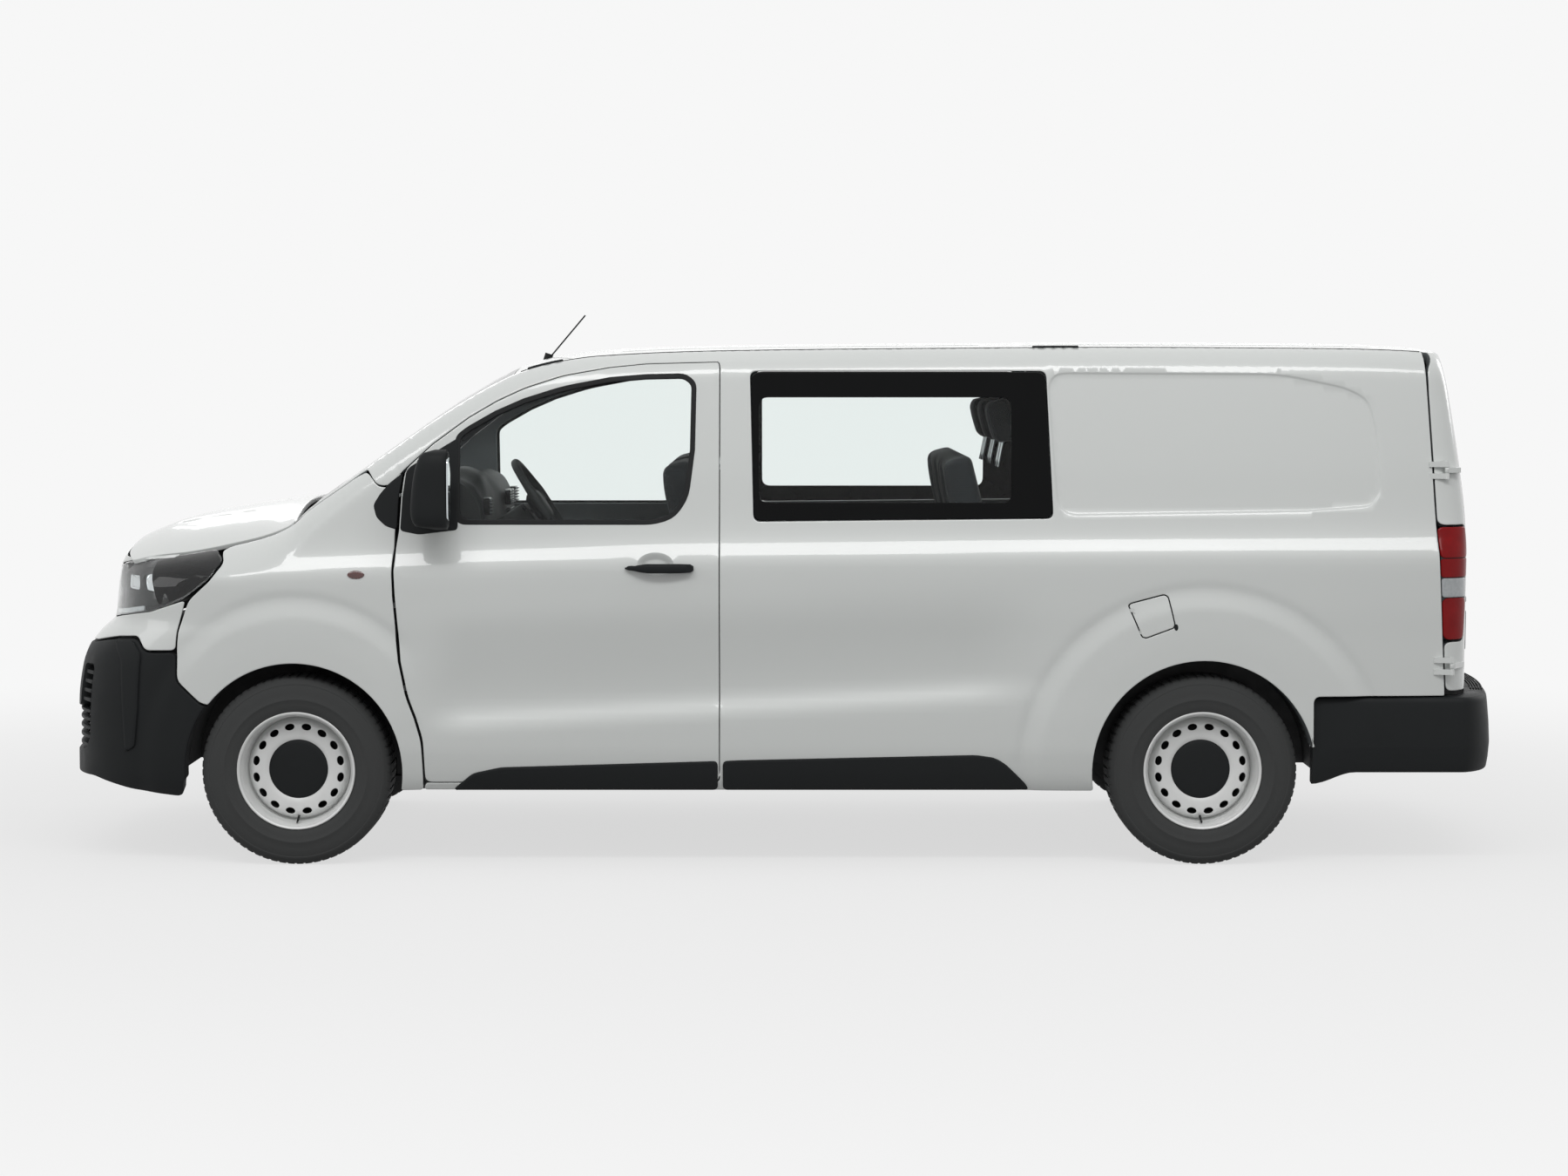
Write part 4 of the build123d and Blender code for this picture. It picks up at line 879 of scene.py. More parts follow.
screen_clear = [(1030, 610), (1200, 640), (1500, 682), (1640, 690), (1640, -690), (1500, -682), (1200, -640),
                (1030, -610)]
panel("windscreen_glass", "body", window_glass, on_roof, inset(leftward(screen_clear), -8.0),
      replaces=("windscreen",), slot="glass", sides=(1,), depth=6.0, rise=-2.0, edge=1.0, grid=30.0,
      corner_radius=60.0)
panel("windscreen_border", "body", gloss_black, on_roof, screen_outline, sides=(1,), depth=7.0, rise=-1.2,
      edge=1.5, holes=[screen_clear], grid=30.0, corner_radius=40.0)


def nose_edge(y):
    """Where the bonnet surface meets the nose surface, as x."""
    def ahead(x):
        return x > nose_front(y, np.maximum(bonnet_height(x, y), 900.0))

    return halved(np.full(np.shape(y), 1900.0), np.full(np.shape(y), 2700.0), 30, ahead)[0]


front_y = np.linspace(0.0, 690.0, 24)
front_x = nose_edge(front_y) - 8.0
front_line = list(zip(front_x, front_y))
side_x = np.array([1786, 1850, 1950, 2050, 2120, 2180])
side_line = [(x, float(edge_half_width(x)) - 8) for x in side_x]
last_y = [p for p in front_line if p[0] > 2230]
bonnet_half = side_line + last_y[::-1]
bonnet_outline = bonnet_half + [(x, -y) for x, y in bonnet_half[::-1][1:]]
bonnet_press = [([(1900, 560), (2260, 470), (2330, 250), (1900, 330)], 60.0, 7.0),
                ([(1900, -560), (2260, -470), (2330, -250), (1900, -330)], 60.0, 7.0)]
panel("bonnet_panel", "bonnet", (paint, paint), on_bonnet, bonnet_outline, replaces=("bonnet",), slot="paint",
      sides=(1,), depth=16.0, grid=24.0, corner_radius=30.0, pressed=bonnet_press)


# ---------------------------------------------------------------- nose
def meets(surface, lid, u, low, high, rounds):
    """The height at which the nose or the tail meets the bonnet or the roof, at each turn."""
    def above(z):
        p = surface(u, z)
        return z > lid(p[:, 0], np.minimum(np.abs(p[:, 1]), edge_half_width(p[:, 0])))

    return halved(np.full(len(u), low), np.full(len(u), high), rounds, above)[0]


def nose_outline(points, whole=False, below_top=5.0):
    """Outline points on the left of the nose in its own (turn, height); whole adds the right half."""
    uv = turned(on_nose, points)
    uv[:, 1] = np.minimum(uv[:, 1], meets(on_nose, bonnet_height, uv[:, 0], 900.0, 1500.0, 22) - below_top)
    if whole:
        first, last = 0 if uv[-1, 0] > 1 else 1, len(uv) if uv[0, 0] > 1 else -1
        uv = np.vstack([uv, (uv * arr([[-1, 1]]))[::-1][first:last]])
    return uv


def x_points(points):
    return [("x", x, z) for x, z in points]


def y_points(points):
    return [("y", y, z) for y, z in points]


wing_arch = circle(FRONT_AXLE_X + 4, AXLE_Z, 392, 190.3, 38.0, 60)
wing_points = [(1394, 1330), (1402, 1205), (1403, 1150), (1412, 1069), (1408, 980), (1398, 866), (1387, 740),
               (1362, 615), (1334, 540), (1310, 457), (1303, 300), (1303, 273)]
wing_points += wing_arch + [(2104, 592), (2190, 671), (2191, 773), (2184, 860), (2150, 956), (2064, 1034),
                            (2021, 1094), (2036, 1136)]
wing_points += [(x, float(through(EDGE_LINE, x)) - 6) for x in (2000, 1950, 1900, 1850) + PILLAR_X[:0:-1]]
wing_points += [(1538, 1407), (1510, 1421), (1466, 1368), (1426, 1365), (1381, 1424)]
wing_uv = turned(on_nose, x_points(wing_points))
wing_rows = turned(on_nose, [("x", x, float(through(EDGE_LINE, x)) - d) for x in range(1530, 2030, 30)
                             for d in (6, 10, 16, 24, 36, 52, 75)])
flare_rows = turned(on_nose, [("x", FRONT_AXLE_X + 0.93 * k * math.cos(math.radians(a)),
                               AXLE_Z + k * math.sin(math.radians(a)))
                              for k in range(546, 672, 11) for a in np.arange(22, 142, 1.8)])
wing_rows = np.vstack([wing_rows, flare_rows])
panel("front_wing_panel", "body", (paint, chassis_black), on_nose, wing_uv, replaces=("front_wings",),
      slot="paint", depth=8.0, extra=wing_rows, corner_radius=22.0, grid=20.0)
lamp_points = y_points([(490, 872), (490, 1062)]) + x_points(
    [(2320, 1098), (2200, 1122), (2119, 1139), (2058, 1140), (2024, 1104), (2066, 1040), (2164, 965),
     (2300, 912)])
lamp_uv = nose_outline(lamp_points)
panel("headlamp_lens", "body", lamp_glass, on_nose, lamp_uv, replaces=("headlamps",), slot="lamp_clear",
      depth=5.0, corner_radius=22.0, grid=20.0, edge=2.0)
upper_points = (y_points([(0, 866), (300, 866), (486, 866)])
                + x_points([(2300, 912), (2162, 958), (2190, 862), (2197, 779), (2312, 776), (2343, 827),
                            (2424, 822)])
                + y_points([(640, 800), (400, 786), (0, 784)]))
panel("front_bumper_upper", "body", (paint, chassis_black), on_nose, nose_outline(upper_points, True),
      replaces=("front_bumper",), slot="paint", sides=(1,), depth=6.0, corner_radius=16.0, grid=20.0,
      coarse=20.0)
lip_points = y_points([(0, 1068), (300, 1068), (484, 1068)]) + x_points([(2330, 1104)]) + y_points(
    [(700, 1300), (600, 1300), (484, 1300), (300, 1300), (150, 1300), (0, 1300)])
panel("nose_lip", "body", (paint, chassis_black), on_nose, nose_outline(lip_points, True, 7.0), sides=(1,),
      depth=6.0, corner_radius=10.0, grid=20.0, coarse=20.0)
visor_points = y_points([(0, 873), (484, 873), (484, 1062), (0, 1062)])
panel("nose_grille_panel", "body", gloss_black, on_nose, nose_outline(visor_points, True), sides=(1,),
      depth=8.0, rise=-3.0, corner_radius=16.0, grid=22.0)
lower_points = (y_points([(0, 300), (500, 304)])
                + x_points([(2526, 306), (2368, 266), (2176, 244), (2170, 300)])
                + x_points(circle(FRONT_AXLE_X + 4, AXLE_Z, 396, -4.0, 36.5, 16))
                + x_points([(2102, 584), (2196, 667), (2197, 770), (2314, 767), (2345, 818), (2424, 813)])
                + y_points([(640, 792), (400, 778), (0, 776)]))
lower_uv = nose_outline(lower_points, True)
# one wide opening low down, with an upright opening at each end
intake = nose_outline(y_points([(0, 384), (610, 384), (700, 402), (732, 446), (732, 700), (716, 716),
                                (640, 712), (626, 700), (620, 566), (600, 552), (0, 552)]), True)
panel("front_bumper_lower", "body", (black_plastic, chassis_black), on_nose, lower_uv, slot="black_plastic",
      sides=(1,), depth=46.0, corner_radius=22.0, grid=20.0, edge=5.0, coarse=40.0,
      pressed=[(intake, 10.0, 40.0)])
# the raised frame round each upright opening
panel("front_bumper_frame", "body", black_plastic, on_nose, nose_outline(
    x_points([(2434, 806), (2356, 808), (2326, 762), (2338, 560), (2352, 424), (2392, 404), (2400, 560),
              (2404, 735)])),
    rise=9.0, depth=10.0, edge=7.0, corner_radius=14.0, grid=14.0)
panel("front_plate_carrier", "body", black_plastic, on_nose,
      nose_outline(y_points([(0, 588), (300, 588), (300, 722), (0, 722)]), True), sides=(1,), rise=2.5,
      depth=6.0, edge=2.5, corner_radius=12.0, grid=24.0)
panel("front_blank_plate", "body", plate_blank, on_nose,
      nose_outline(y_points([(0, 600), (260, 600), (260, 710), (0, 710)]), True), sides=(1,), rise=4.0,
      depth=3.0, edge=1.2, corner_radius=8.0, grid=40.0)


# ---------------------------------------------------------------- wheels
def tyre_mesh(x, y):
    """A tyre with four grooves, sipes across its shoulders and ribbed sidewalls."""
    half = 107.5
    section = [(203, 80), (207, 92), (222, 101), (240, 105), (256, 107.2), (258, 108.4), (262, 108.4),
               (264, 107.4), (284, 107), (300, 104.5), (312, 101), (314, 101.6), (320, 100), (322, 98.6),
               (331, 93), (338, 86), (341.4, 80), (342.6, 72), (342.9, 62), (336, 60.5), (336, 53.5),
               (343, 52), (343, 22), (336, 20.5), (336, 13.5), (343, 12), (343, 0)]
    outline = section + [(r, -w) for r, w in section[::-1][1:]] + [(199, -80), (199, 80)]
    pitches = 68
    turns = []
    for k in range(pitches):
        turns += [(k, False), (k + 0.04, True), (k + 0.30, True), (k + 0.34, False), (k + 0.67, False)]
    verts, faces = [], []
    for at, cut in turns:
        a = 2 * math.pi * at / pitches
        for r, w in outline:
            deep = 0.0
            if cut:
                deep = 2.4 if r > 337.5 and abs(w) > 61 else 3.5 if r > 342 and abs(w) < 61 else 0.0
            lean = 0.010 * w / half if r > 330 else 0.0
            verts.append((x + (r - deep) * math.cos(a + lean), y + w,
                          AXLE_Z + (r - deep) * math.sin(a + lean)))
    n, rows = len(outline), len(turns)
    for s in range(rows):
        t = (s + 1) % rows
        for k in range(n):
            m = (k + 1) % n
            faces.append((s * n + k, t * n + k, t * n + m, s * n + m))
    return verts, faces


# the rolled rim: a closed section turned round the axle, from the disc's edge out to both flanges
RIM_SECTION = [(179, -4), (186, 0), (190, 14), (192.5, 50), (196, 82), (203, 90), (209, 93), (213.5, 97),
               (213.5, 100.5), (211, 102.5), (207.5, 102), (203, 98), (200.8, 92), (199.5, 60), (199.5, -60),
               (201, -92), (212, -98), (210, -102), (198, -96), (188, -60), (180, -30)]
VENT_COUNT = 16
VENT_RADIUS = 156.0
HUB_HOLE = 30.5


def disc_depth(r):
    """How far the wheel's disc stands out at radius r: a raised ring with the vents, and a rolled edge."""
    return through([(0, 8), (62, 8), (84, 19), (104, 32), (122, 39), (150, 40), (168, 36), (177, 24),
                    (182, 6), (190, -2)], r)


def on_disc(u, v):
    return np.column_stack([u, HALF_TRACK + disc_depth(np.hypot(u, v)), AXLE_Z + v])


vents = []
for k in range(VENT_COUNT):
    a = 2 * math.pi * (k + 0.5) / VENT_COUNT
    vents.append([(VENT_RADIUS * math.cos(a) + 12.5 * math.cos(t) * math.cos(a)
                   - 17.5 * math.sin(t) * math.sin(a),
                   VENT_RADIUS * math.sin(a) + 12.5 * math.cos(t) * math.sin(a)
                   + 17.5 * math.sin(t) * math.cos(a))
                  for t in [2 * math.pi * j / 18 for j in range(18)]])
disc_mesh = panel_mesh(on_disc, circle(0, 0, 186.5, count=96)[:-1],
                       holes=[circle(0, 0, HUB_HOLE, count=32)[:-1]] + vents, depth=4.5, edge=2.0, grid=9.0,
                       corner_radius=1.0, coarse=30.0)[:2]

DISC = [(0.5, -12), (66, -12), (70, -26), (139, -26), (139, -48), (60, -48), (58, -60), (0.5, -60)]
DUST_SHIELD = [(60, -50), (150, -46), (168, -18), (177, -18), (177, -24), (154, -56), (60, -58)]
CAP = [(0.5, 44), (60, 43), (92, 40), (100, 38), (106, 35), (108.5, 31), (108.5, 24), (100, 22), (0.5, 20)]
for end, axle_x in (("front", FRONT_AXLE_X), ("rear", REAR_AXLE_X)):
    for word, side in (("left", 1), ("right", -1)):
        body, y = f"{word}_{end}_wheel", side * HALF_TRACK
        verts, faces = tyre_mesh(axle_x, y)
        tyre = make(f"{word}_{end}_tyre_tread", verts, faces, body, tyre_rubber, angle=28.0)
        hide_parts(f"{word}_{end}_tyre")
        disc = [(p[0] + axle_x, side * p[1], p[2]) for p in disc_mesh[0]], disc_mesh[1]
        rolled = lathe_mesh([(r, side * w) for r, w in RIM_SECTION], 144, (axle_x, y, AXLE_Z))
        verts, faces = upright(joined(disc, rolled))
        rim = make(f"{word}_{end}_steel_wheel", verts, faces, body, wheel_silver, angle=40.0)
        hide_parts(f"{word}_{end}_rim")
        verts, faces = lathe_mesh([(r, side * w) for r, w in CAP], 72, (axle_x, y, AXLE_Z))
        if side > 0:
            faces = [f[::-1] for f in faces]
        make(f"{word}_{end}_centre_cap", verts, faces, body, black_plastic, angle=40.0)
        stem = [(axle_x, y + side * w, AXLE_Z - r) for r, w in ((172, 30), (180, 52), (188, 78), (190, 84))]
        tube(f"{word}_{end}_tyre_valve", stem, (4.5, 4.0, 3.6, 2.4), body, seal_rubber, sides=10)
        carrier = f"{word}_knuckle" if end == "front" else "body"
        for part, profile, holder, finish in (("brake_disc", DISC, body, chassis_black),
                                              ("dust_shield", DUST_SHIELD, carrier, chassis_black)):
            mesh = upright(lathe_mesh([(r, side * w) for r, w in profile], 64, (axle_x, y, AXLE_Z)))
            make(f"{word}_{end}_{part}", mesh[0], mesh[1], holder, finish, angle=30.0)


# ---------------------------------------------------------------- side glazing
CREW_CLEAR = [(90, 1312), (90, 1690), (-820, 1690), (-820, 1312)]
panel("crew_window_border", "body", gloss_black, on_flank, inset(leftward(CREW_WINDOW), 1.0),
      holes=[CREW_CLEAR], depth=5.0, edge=1.5, corner_radius=34.0, slot="glass", replaces=("side_windows",))
panel("crew_window_glass", "body", window_glass, on_flank, inset(leftward(CREW_CLEAR), -7.0), rise=-1.5,
      depth=3.0, edge=1.0, corner_radius=38.0, slot="glass", grid=60.0)
panel("door_window_seal", FRONT_DOORS, seal_rubber, on_flank, inset(leftward(DOOR_WINDOW), -9.0),
      holes=[inset(leftward(DOOR_WINDOW), 10.0)], rise=1.8, depth=12.0, edge=2.5, corner_radius=44.0)
# the black corner panel that carries the mirror, on the door, and its tip on the wing
panel("mirror_corner_trim", FRONT_DOORS, black_plastic, on_flank,
      [(1176, 1545), (1176, 1213), (1317, 1196), (1384, 1210), (1377, 1330), (1364, 1424), (1350, 1440)],
      rise=3.0, depth=10.0, edge=3.0, corner_radius=14.0)
panel("wing_corner_trim", "body", black_plastic, on_flank,
      [(1396, 1214), (1436, 1226), (1470, 1258), (1482, 1302), (1458, 1342), (1426, 1380), (1374, 1420),
       (1390, 1330)],
      rise=3.0, depth=5.0, edge=3.0, corner_radius=12.0)


# ---------------------------------------------------------------- mirrors
MIRROR_LOW, MIRROR_TOP, MIRROR_REAR = 1222.0, 1506.0, 1192.0


def mirror_rings():
    rings = []
    for t in np.linspace(0, 1, 25):
        z = MIRROR_LOW + (MIRROR_TOP - MIRROR_LOW) * t
        round_off = max(1.0 - abs(2 * t - 1) ** 5.0, 0.0) ** 0.42
        front = 1330.0 - 34.0 * t ** 2.2
        half_x = (front - MIRROR_REAR) / 2 * (0.55 + 0.45 * round_off) if 0 < t < 1 else 22.0
        half_y = 70.0 * (0.30 + 0.70 * round_off) * (1.0 - 0.05 * t)
        dx, dy = super_ring(half_x, half_y, 4.2)
        rings.append(ring(MIRROR_REAR + half_x + dx + (1 - round_off) * 6, 1031 + dy - 4 * t, z))
    return rings


pair("mirror_housing", FRONT_DOORS, black_plastic, loft(mirror_rings()), replaces=("mirror",),
     slot="trim_plastic", angle=50.0)
dy, dz = super_ring(56.0, 112.0, 5.0)
pair("mirror_face", FRONT_DOORS, mirror_glass, loft([
    ring(x, 1028 + dy * k, 1366 + dz * k) for x, k in ((1196, 1.0), (1191.6, 1.0), (1190.6, 0.985))]))
dx, dz = super_ring(34.0, 21.0, 3.0)
pair("mirror_arm", FRONT_DOORS, black_plastic, loft([
    ring(1274 - 6 * k + dx * (1.15 - 0.25 * k), y, z + dz * (1.1 - 0.2 * k))
    for k, (y, z) in enumerate(((886, 1262), (912, 1262), (950, 1263), (985, 1266)))]), angle=50.0)


# ---------------------------------------------------------------- handles, mouldings and small lamps
HANDLE_REACH = 30.0              # how far a door handle's bar stands off its panel


def handle_mesh(x_thin, x_thick, z):
    """A pull handle: a bar that starts thin, stands off the door, and ends in the lock cover."""
    rings = []
    for t in np.linspace(0, 1, 23):
        x = x_thin + (x_thick - x_thin) * t
        high = 5.0 + 12.0 * smooth(0, 0.35, t) - 2.0 * smooth(0.75, 1.0, t)
        thick = 4.0 + 8.0 * smooth(0, 0.3, t)
        off = 3.0 + HANDLE_REACH * min(1.0, (math.sin(math.pi * min(max(t * 0.9 + 0.03, 0), 1))) ** 0.7)
        end = 1.0 if 0 < t < 1 else 0.55
        dy, dz = super_ring(thick * end, high * end, 2.6, 20)
        rings.append(ring(x, float(flank(x, z)) + off - thick * 0.4 + dy, z + dz))
    return loft(rings)


def foot(x, z, wide, high, deep=34.0):
    """A short foot that joins a handle to the panel."""
    dx, dz = super_ring(wide, high, 3.0, 20)
    y = float(flank(x, z))
    return loft([ring(x + dx, y + d, z + dz) for d in (-24.0, deep * 0.5, deep * 0.8)])


def lock_disc(x, z, out):
    y = float(flank(x, z)) + out
    dx, dz = round_ring(1.0, 24)
    return loft([ring(x + r * dx, y + d, z + r * dz) for r, d in ((9.0, 0.0), (9.0, 2.0), (7.0, 3.2))])


for name, bodies, sides, thin, thick in (("front_door_handle", FRONT_DOORS, (1, -1), 571.0, 325.0),
                                        ("sliding_door_handle", ["body"], (-1,), -22.0, 196.0)):
    step = 1 if thick > thin else -1
    mesh = joined(handle_mesh(thin, thick, HANDLE_Z - 2), foot(thin + step * 26, HANDLE_Z - 1, 20, 8, 20),
                  foot(thick - step * 30, HANDLE_Z - 2, 26, 12))
    pair(name, bodies, black_plastic, mesh, sides=sides, slot="trim_plastic", angle=50.0)
    pair(name + "_lock", bodies, bright_metal, lock_disc(thick - step * 17, HANDLE_Z - 2, 19.5), sides=sides)

DOOR_MOULDING = [(1196, 276), (1123, 337), (1021, 359), (239, 382), (239, 276)]
SILL_MOULDING = [(221, 276), (221, 382), (157, 385), (-691, 404), (-760, 394), (-801, 369), (-872, 298),
                 (-884, 276)]
moulding_shape = dict(rise=9.0, depth=8.0, edge=6.0, grid=30.0, corner_radius=18.0, slot="black_plastic")
panel("front_door_moulding", FRONT_DOORS, black_plastic, on_flank, DOOR_MOULDING, **moulding_shape)
panel("sill_moulding", "body", black_plastic, on_flank, SILL_MOULDING, **moulding_shape)
panel("side_repeater", "body", smoked_amber, on_flank, oval(1538, 1054, 62, 30), rise=4.0, depth=5.0,
      edge=4.0, grid=8.0, corner_radius=2.0)
panel("fuel_flap_notch", "body", black_plastic, on_flank, oval(-1408, 866, 15, 24), sides=(1,), rise=0.4,
      depth=2.0, edge=1.0, grid=6.0, corner_radius=2.0)


# ---------------------------------------------------------------- roof channels
CHANNEL = [(x, RAIL_Y + 4) for x in (-2318, -1500, -500, 300, 800, 960)] + [
    (x, RAIL_Y - 9) for x in (960, 800, 300, -500, -1500, -2318)]
panel("roof_channel_strip", "body", seal_rubber, on_roof, CHANNEL, rise=2.0, depth=3.0, edge=1.5,
      corner_radius=3.0)
for name, low, high in (("front", 805, 935), ("rear", -1075, -905)):
    panel(name + "_roof_channel_cover", "body", black_plastic, on_roof,
          [(low, RAIL_Y - 15), (high, RAIL_Y - 15), (high, RAIL_Y + 9), (low, RAIL_Y + 9)], rise=7.0,
          depth=8.0, edge=4.0, corner_radius=8.0, grid=12.0)


# ---------------------------------------------------------------- headlamps
bowl_uv = inset(leftward(lamp_uv), 1.0)
module_uv = [nose_outline(x_points([(a, lo), (b, lo2), (b, hi2), (a, hi)])) for a, lo, hi, b, lo2, hi2 in
             ((2440, 985, 1058, 2366, 985, 1066), (2350, 984, 1068, 2262, 980, 1078))]
panel("headlamp_bowl", "body", dark_trim, on_nose, bowl_uv, rise=-6.0, depth=52.0, edge=1.0,
      corner_radius=20.0, grid=14.0,
      pressed=[(inset(bowl_uv, 3.0), 10.0, 22.0)] + [(m, 8.0, 22.0) for m in module_uv])
panel("headlamp_dark_rear", "body", gloss_black, on_nose, nose_outline(
    x_points([(2270, 1104), (2200, 1118), (2119, 1135), (2062, 1134), (2030, 1102), (2074, 1044), (2167, 972),
              (2268, 934)])),
    rise=-5.2, depth=3.0, edge=0.8, corner_radius=22.0, grid=20.0)
for k, m in enumerate(module_uv):
    panel(f"headlamp_reflector_{k + 1}", "body", bright_metal, on_nose, inset(leftward(m), 7.0), rise=-34.0,
          depth=4.0, edge=3.0, corner_radius=8.0, grid=14.0, pressed=[(inset(leftward(m), 12.0), 14.0, 9.0)])
panel("daytime_light_bar", "body", clear_ribs, on_nose, nose_outline(
    y_points([(500, 882), (500, 902)]) + x_points([(2400, 921), (2330, 934), (2330, 915), (2400, 902)])),
    rise=-7.0, depth=6.0, edge=2.5, corner_radius=6.0, grid=14.0)


# ---------------------------------------------------------------- slats in the bumper's openings
slats = [nose_outline(y_points([(0, z - 6), (718, z - 6), (718, z + 6), (0, z + 6)]), True)
         for z in (412, 444, 476, 508, 538)]
single("lower_grille_slats", "body", black_plastic,
       panels_mesh(on_nose, slats, rise=-8.0, depth=26.0, edge=3.0, grid=40.0, corner_radius=4.0))
slats = [nose_outline(y_points([(632, z - 7), (632, z + 7), (722, z + 7), (722, z - 7)]))
         for z in (580, 614, 648, 682)]
pair("side_intake_slats", "body", black_plastic,
     panels_mesh(on_nose, slats, rise=-7.0, depth=26.0, edge=3.0, grid=30.0, corner_radius=4.0))


# ---------------------------------------------------------------- seats
CLOTH_MOTTLE_MM = 71.4286        # how wide the paler and darker areas of the cloth are


def woven_cloth(name, colour, second, thread_mm):
    """Flat-woven seat cloth: two sets of threads that cross, seen as fine ribs, with painted shade: thread
    tops lighter, hollows darker.
    """
    material, tree = new_material(name)
    place = add(tree, "ShaderNodeTexCoord").outputs["Object"]
    ribs = [add(tree, "ShaderNodeTexWave",
                {"Vector": place, "Scale": 1000.0 / thread_mm / math.tau, "Distortion": 0.6, "Detail": 1.0},
                bands_direction=way).outputs["Fac"] for way in ("Y", "Z")]
    weave = add(tree, "ShaderNodeMath", {0: ribs[0], 1: ribs[1]}, operation="MULTIPLY").outputs["Value"]
    cloud = add(tree, "ShaderNodeTexNoise",
                {"Vector": place, "Scale": 1000.0 / CLOTH_MOTTLE_MM, "Detail": 3.0}).outputs["Fac"]
    # the weave's height also sets the colour: painted shade that darkens the hollows between the threads and
    # lightens their tops
    tone = add(tree, "ShaderNodeMath", {0: weave, 1: 0.6, 2: cloud},
               operation="MULTIPLY_ADD").outputs["Value"]
    mix = add(tree, "ShaderNodeMix", {"Factor": tone, "A": linear(colour), "B": linear(second)},
              data_type="RGBA")
    bump = add(tree, "ShaderNodeBump", {"Height": weave, "Distance": 0.0006, "Strength": 0.8})
    shader = add(tree, "ShaderNodeBsdfPrincipled", {
        "Base Color": mix.outputs["Result"], "Roughness": 0.92, "Sheen Weight": 0.15, "Sheen Roughness": 0.5,
        "Specular IOR Level": 0.2, "Normal": bump.outputs["Normal"]})
    add(tree, "ShaderNodeOutputMaterial", {"Surface": shader.outputs["BSDF"]})
    return material


# woven polyester, threads drawn at 4 mm so that they show
seat_cloth = woven_cloth("charcoal_woven_polyester", "#101214", "#212427", 4.0)
# the same cloth's lighter facing, used on the door cards
card_cloth = woven_cloth("grey_woven_polyester", "#3b3e42", "#55595d", 4.0)


def marks(half, radius, seams, step):
    """Where the grid lines of a pad run along one side: close together at its edges and at its seams."""
    near_edge = [-half + radius * k for k in (0.0, 0.22, 0.45, 0.72, 1.0)]
    fine = [s + d for s in seams for d in (-13.0, -7.0, -3.0, 0.0, 3.0, 7.0, 13.0)
            if abs(s + d) < half - radius]
    plain = np.arange(-half + radius + step, half - radius - step / 2, step)
    plain = [p for p in plain if all(abs(p - f) > step * 0.3 for f in fine)]
    return sorted(set(np.round(near_edge + [-v for v in near_edge] + list(plain) + fine, 3)))


def pad_mesh(length, width, thick, radius, places=1, crown=16.0, roll=16.0, seams=(), lean=0.0,
             origin=(0, 0, 0)):
    """A stuffed pad as a closed skin.  Its top, along +thick, is crowned in each of its places, has a raised
    roll down both sides of a place, and is drawn in along the seams.  lean tips it back from lying flat."""
    share = width / places
    across = [share * (k + 0.5 + s) - width / 2 for k in range(places) for s in (-0.29, 0.29)]
    across += [share * k - width / 2 for k in range(1, places)]
    axes = [marks(length / 2, radius, list(seams), 26.0), marks(width / 2, radius, across, 26.0),
            marks(thick / 2, radius, [], 30.0)]
    counts = [len(a) for a in axes]
    index, grid = {}, []

    def corner_of(i, j, k):
        if (i, j, k) not in index:
            index[(i, j, k)] = len(grid)
            grid.append((axes[0][i], axes[1][j], axes[2][k]))
        return index[(i, j, k)]

    faces = []
    for fixed in range(3):
        one, two = [a for a in range(3) if a != fixed]
        for end in (0, counts[fixed] - 1):
            for a in range(counts[one] - 1):
                for b in range(counts[two] - 1):
                    spot = [0, 0, 0]
                    spot[fixed] = end
                    face = []
                    for da, db in ((0, 0), (1, 0), (1, 1), (0, 1)):
                        spot[one], spot[two] = a + da, b + db
                        face.append(corner_of(*spot))
                    faces.append(tuple(face))
    p = arr(grid)
    half = arr([length / 2, width / 2, thick / 2])
    core = np.clip(p, -(half - radius), half - radius)
    away = p - core
    reach = np.linalg.norm(away, axis=1)[:, None]
    p = core + np.where(reach > 1e-6, away / np.maximum(reach, 1e-6) * radius, 0.0)
    l, w, t = p[:, 0] / half[0], p[:, 1], p[:, 2] / half[2]
    s = np.abs(((w + width / 2) % share) / share - 0.5)
    top = smooth(0.1, 0.9, t)
    inner = np.clip(1 - np.abs(l) ** 3, 0, 1)
    lift = crown * inner * np.sqrt(np.clip(1 - (2 * s) ** 2, 0, 1))
    lift = lift + roll * smooth(0.29, 0.38, s) * (1 - smooth(0.42, 0.5, s)) * np.clip(1 - l ** 6, 0, 1)
    lift = lift - 9.0 * np.exp(-((s - 0.29) * share / 4.5) ** 2) * np.clip(1 - l ** 8, 0, 1)
    if places > 1:
        inside = smooth(width / 2, width / 2 - share * 0.4, np.abs(w))
        lift = lift - 16.0 * np.exp(-((0.5 - s) * share / 6.0) ** 2) * inside
    for seam in seams:
        lift = lift - 7.0 * np.exp(-((p[:, 0] - seam) / 4.5) ** 2) * smooth(0.34, 0.27, s)
    lift = lift + 1.6 * np.sin(p[:, 0] / 41.0 + w / 67.0) * np.sin(w / 37.0)
    p[:, 2] += lift * top
    # the sides pull in between the corners
    waist = np.clip(1 - t ** 2, 0, 1)
    fade = np.clip(1 - l ** 4, 0, 1)
    p[:, 1] -= np.sign(p[:, 1]) * 9.0 * waist * smooth(0.9, 1.0, np.abs(w) / half[1]) * fade
    p[:, 0] -= np.sign(p[:, 0]) * 8.0 * waist * smooth(0.9, 1.0, np.abs(l))
    c, d = math.cos(lean), math.sin(lean)
    x = origin[0] + p[:, 0] * c + p[:, 2] * d
    z = origin[2] - p[:, 0] * d + p[:, 2] * c
    return np.column_stack([x, origin[1] + p[:, 1], z]), faces


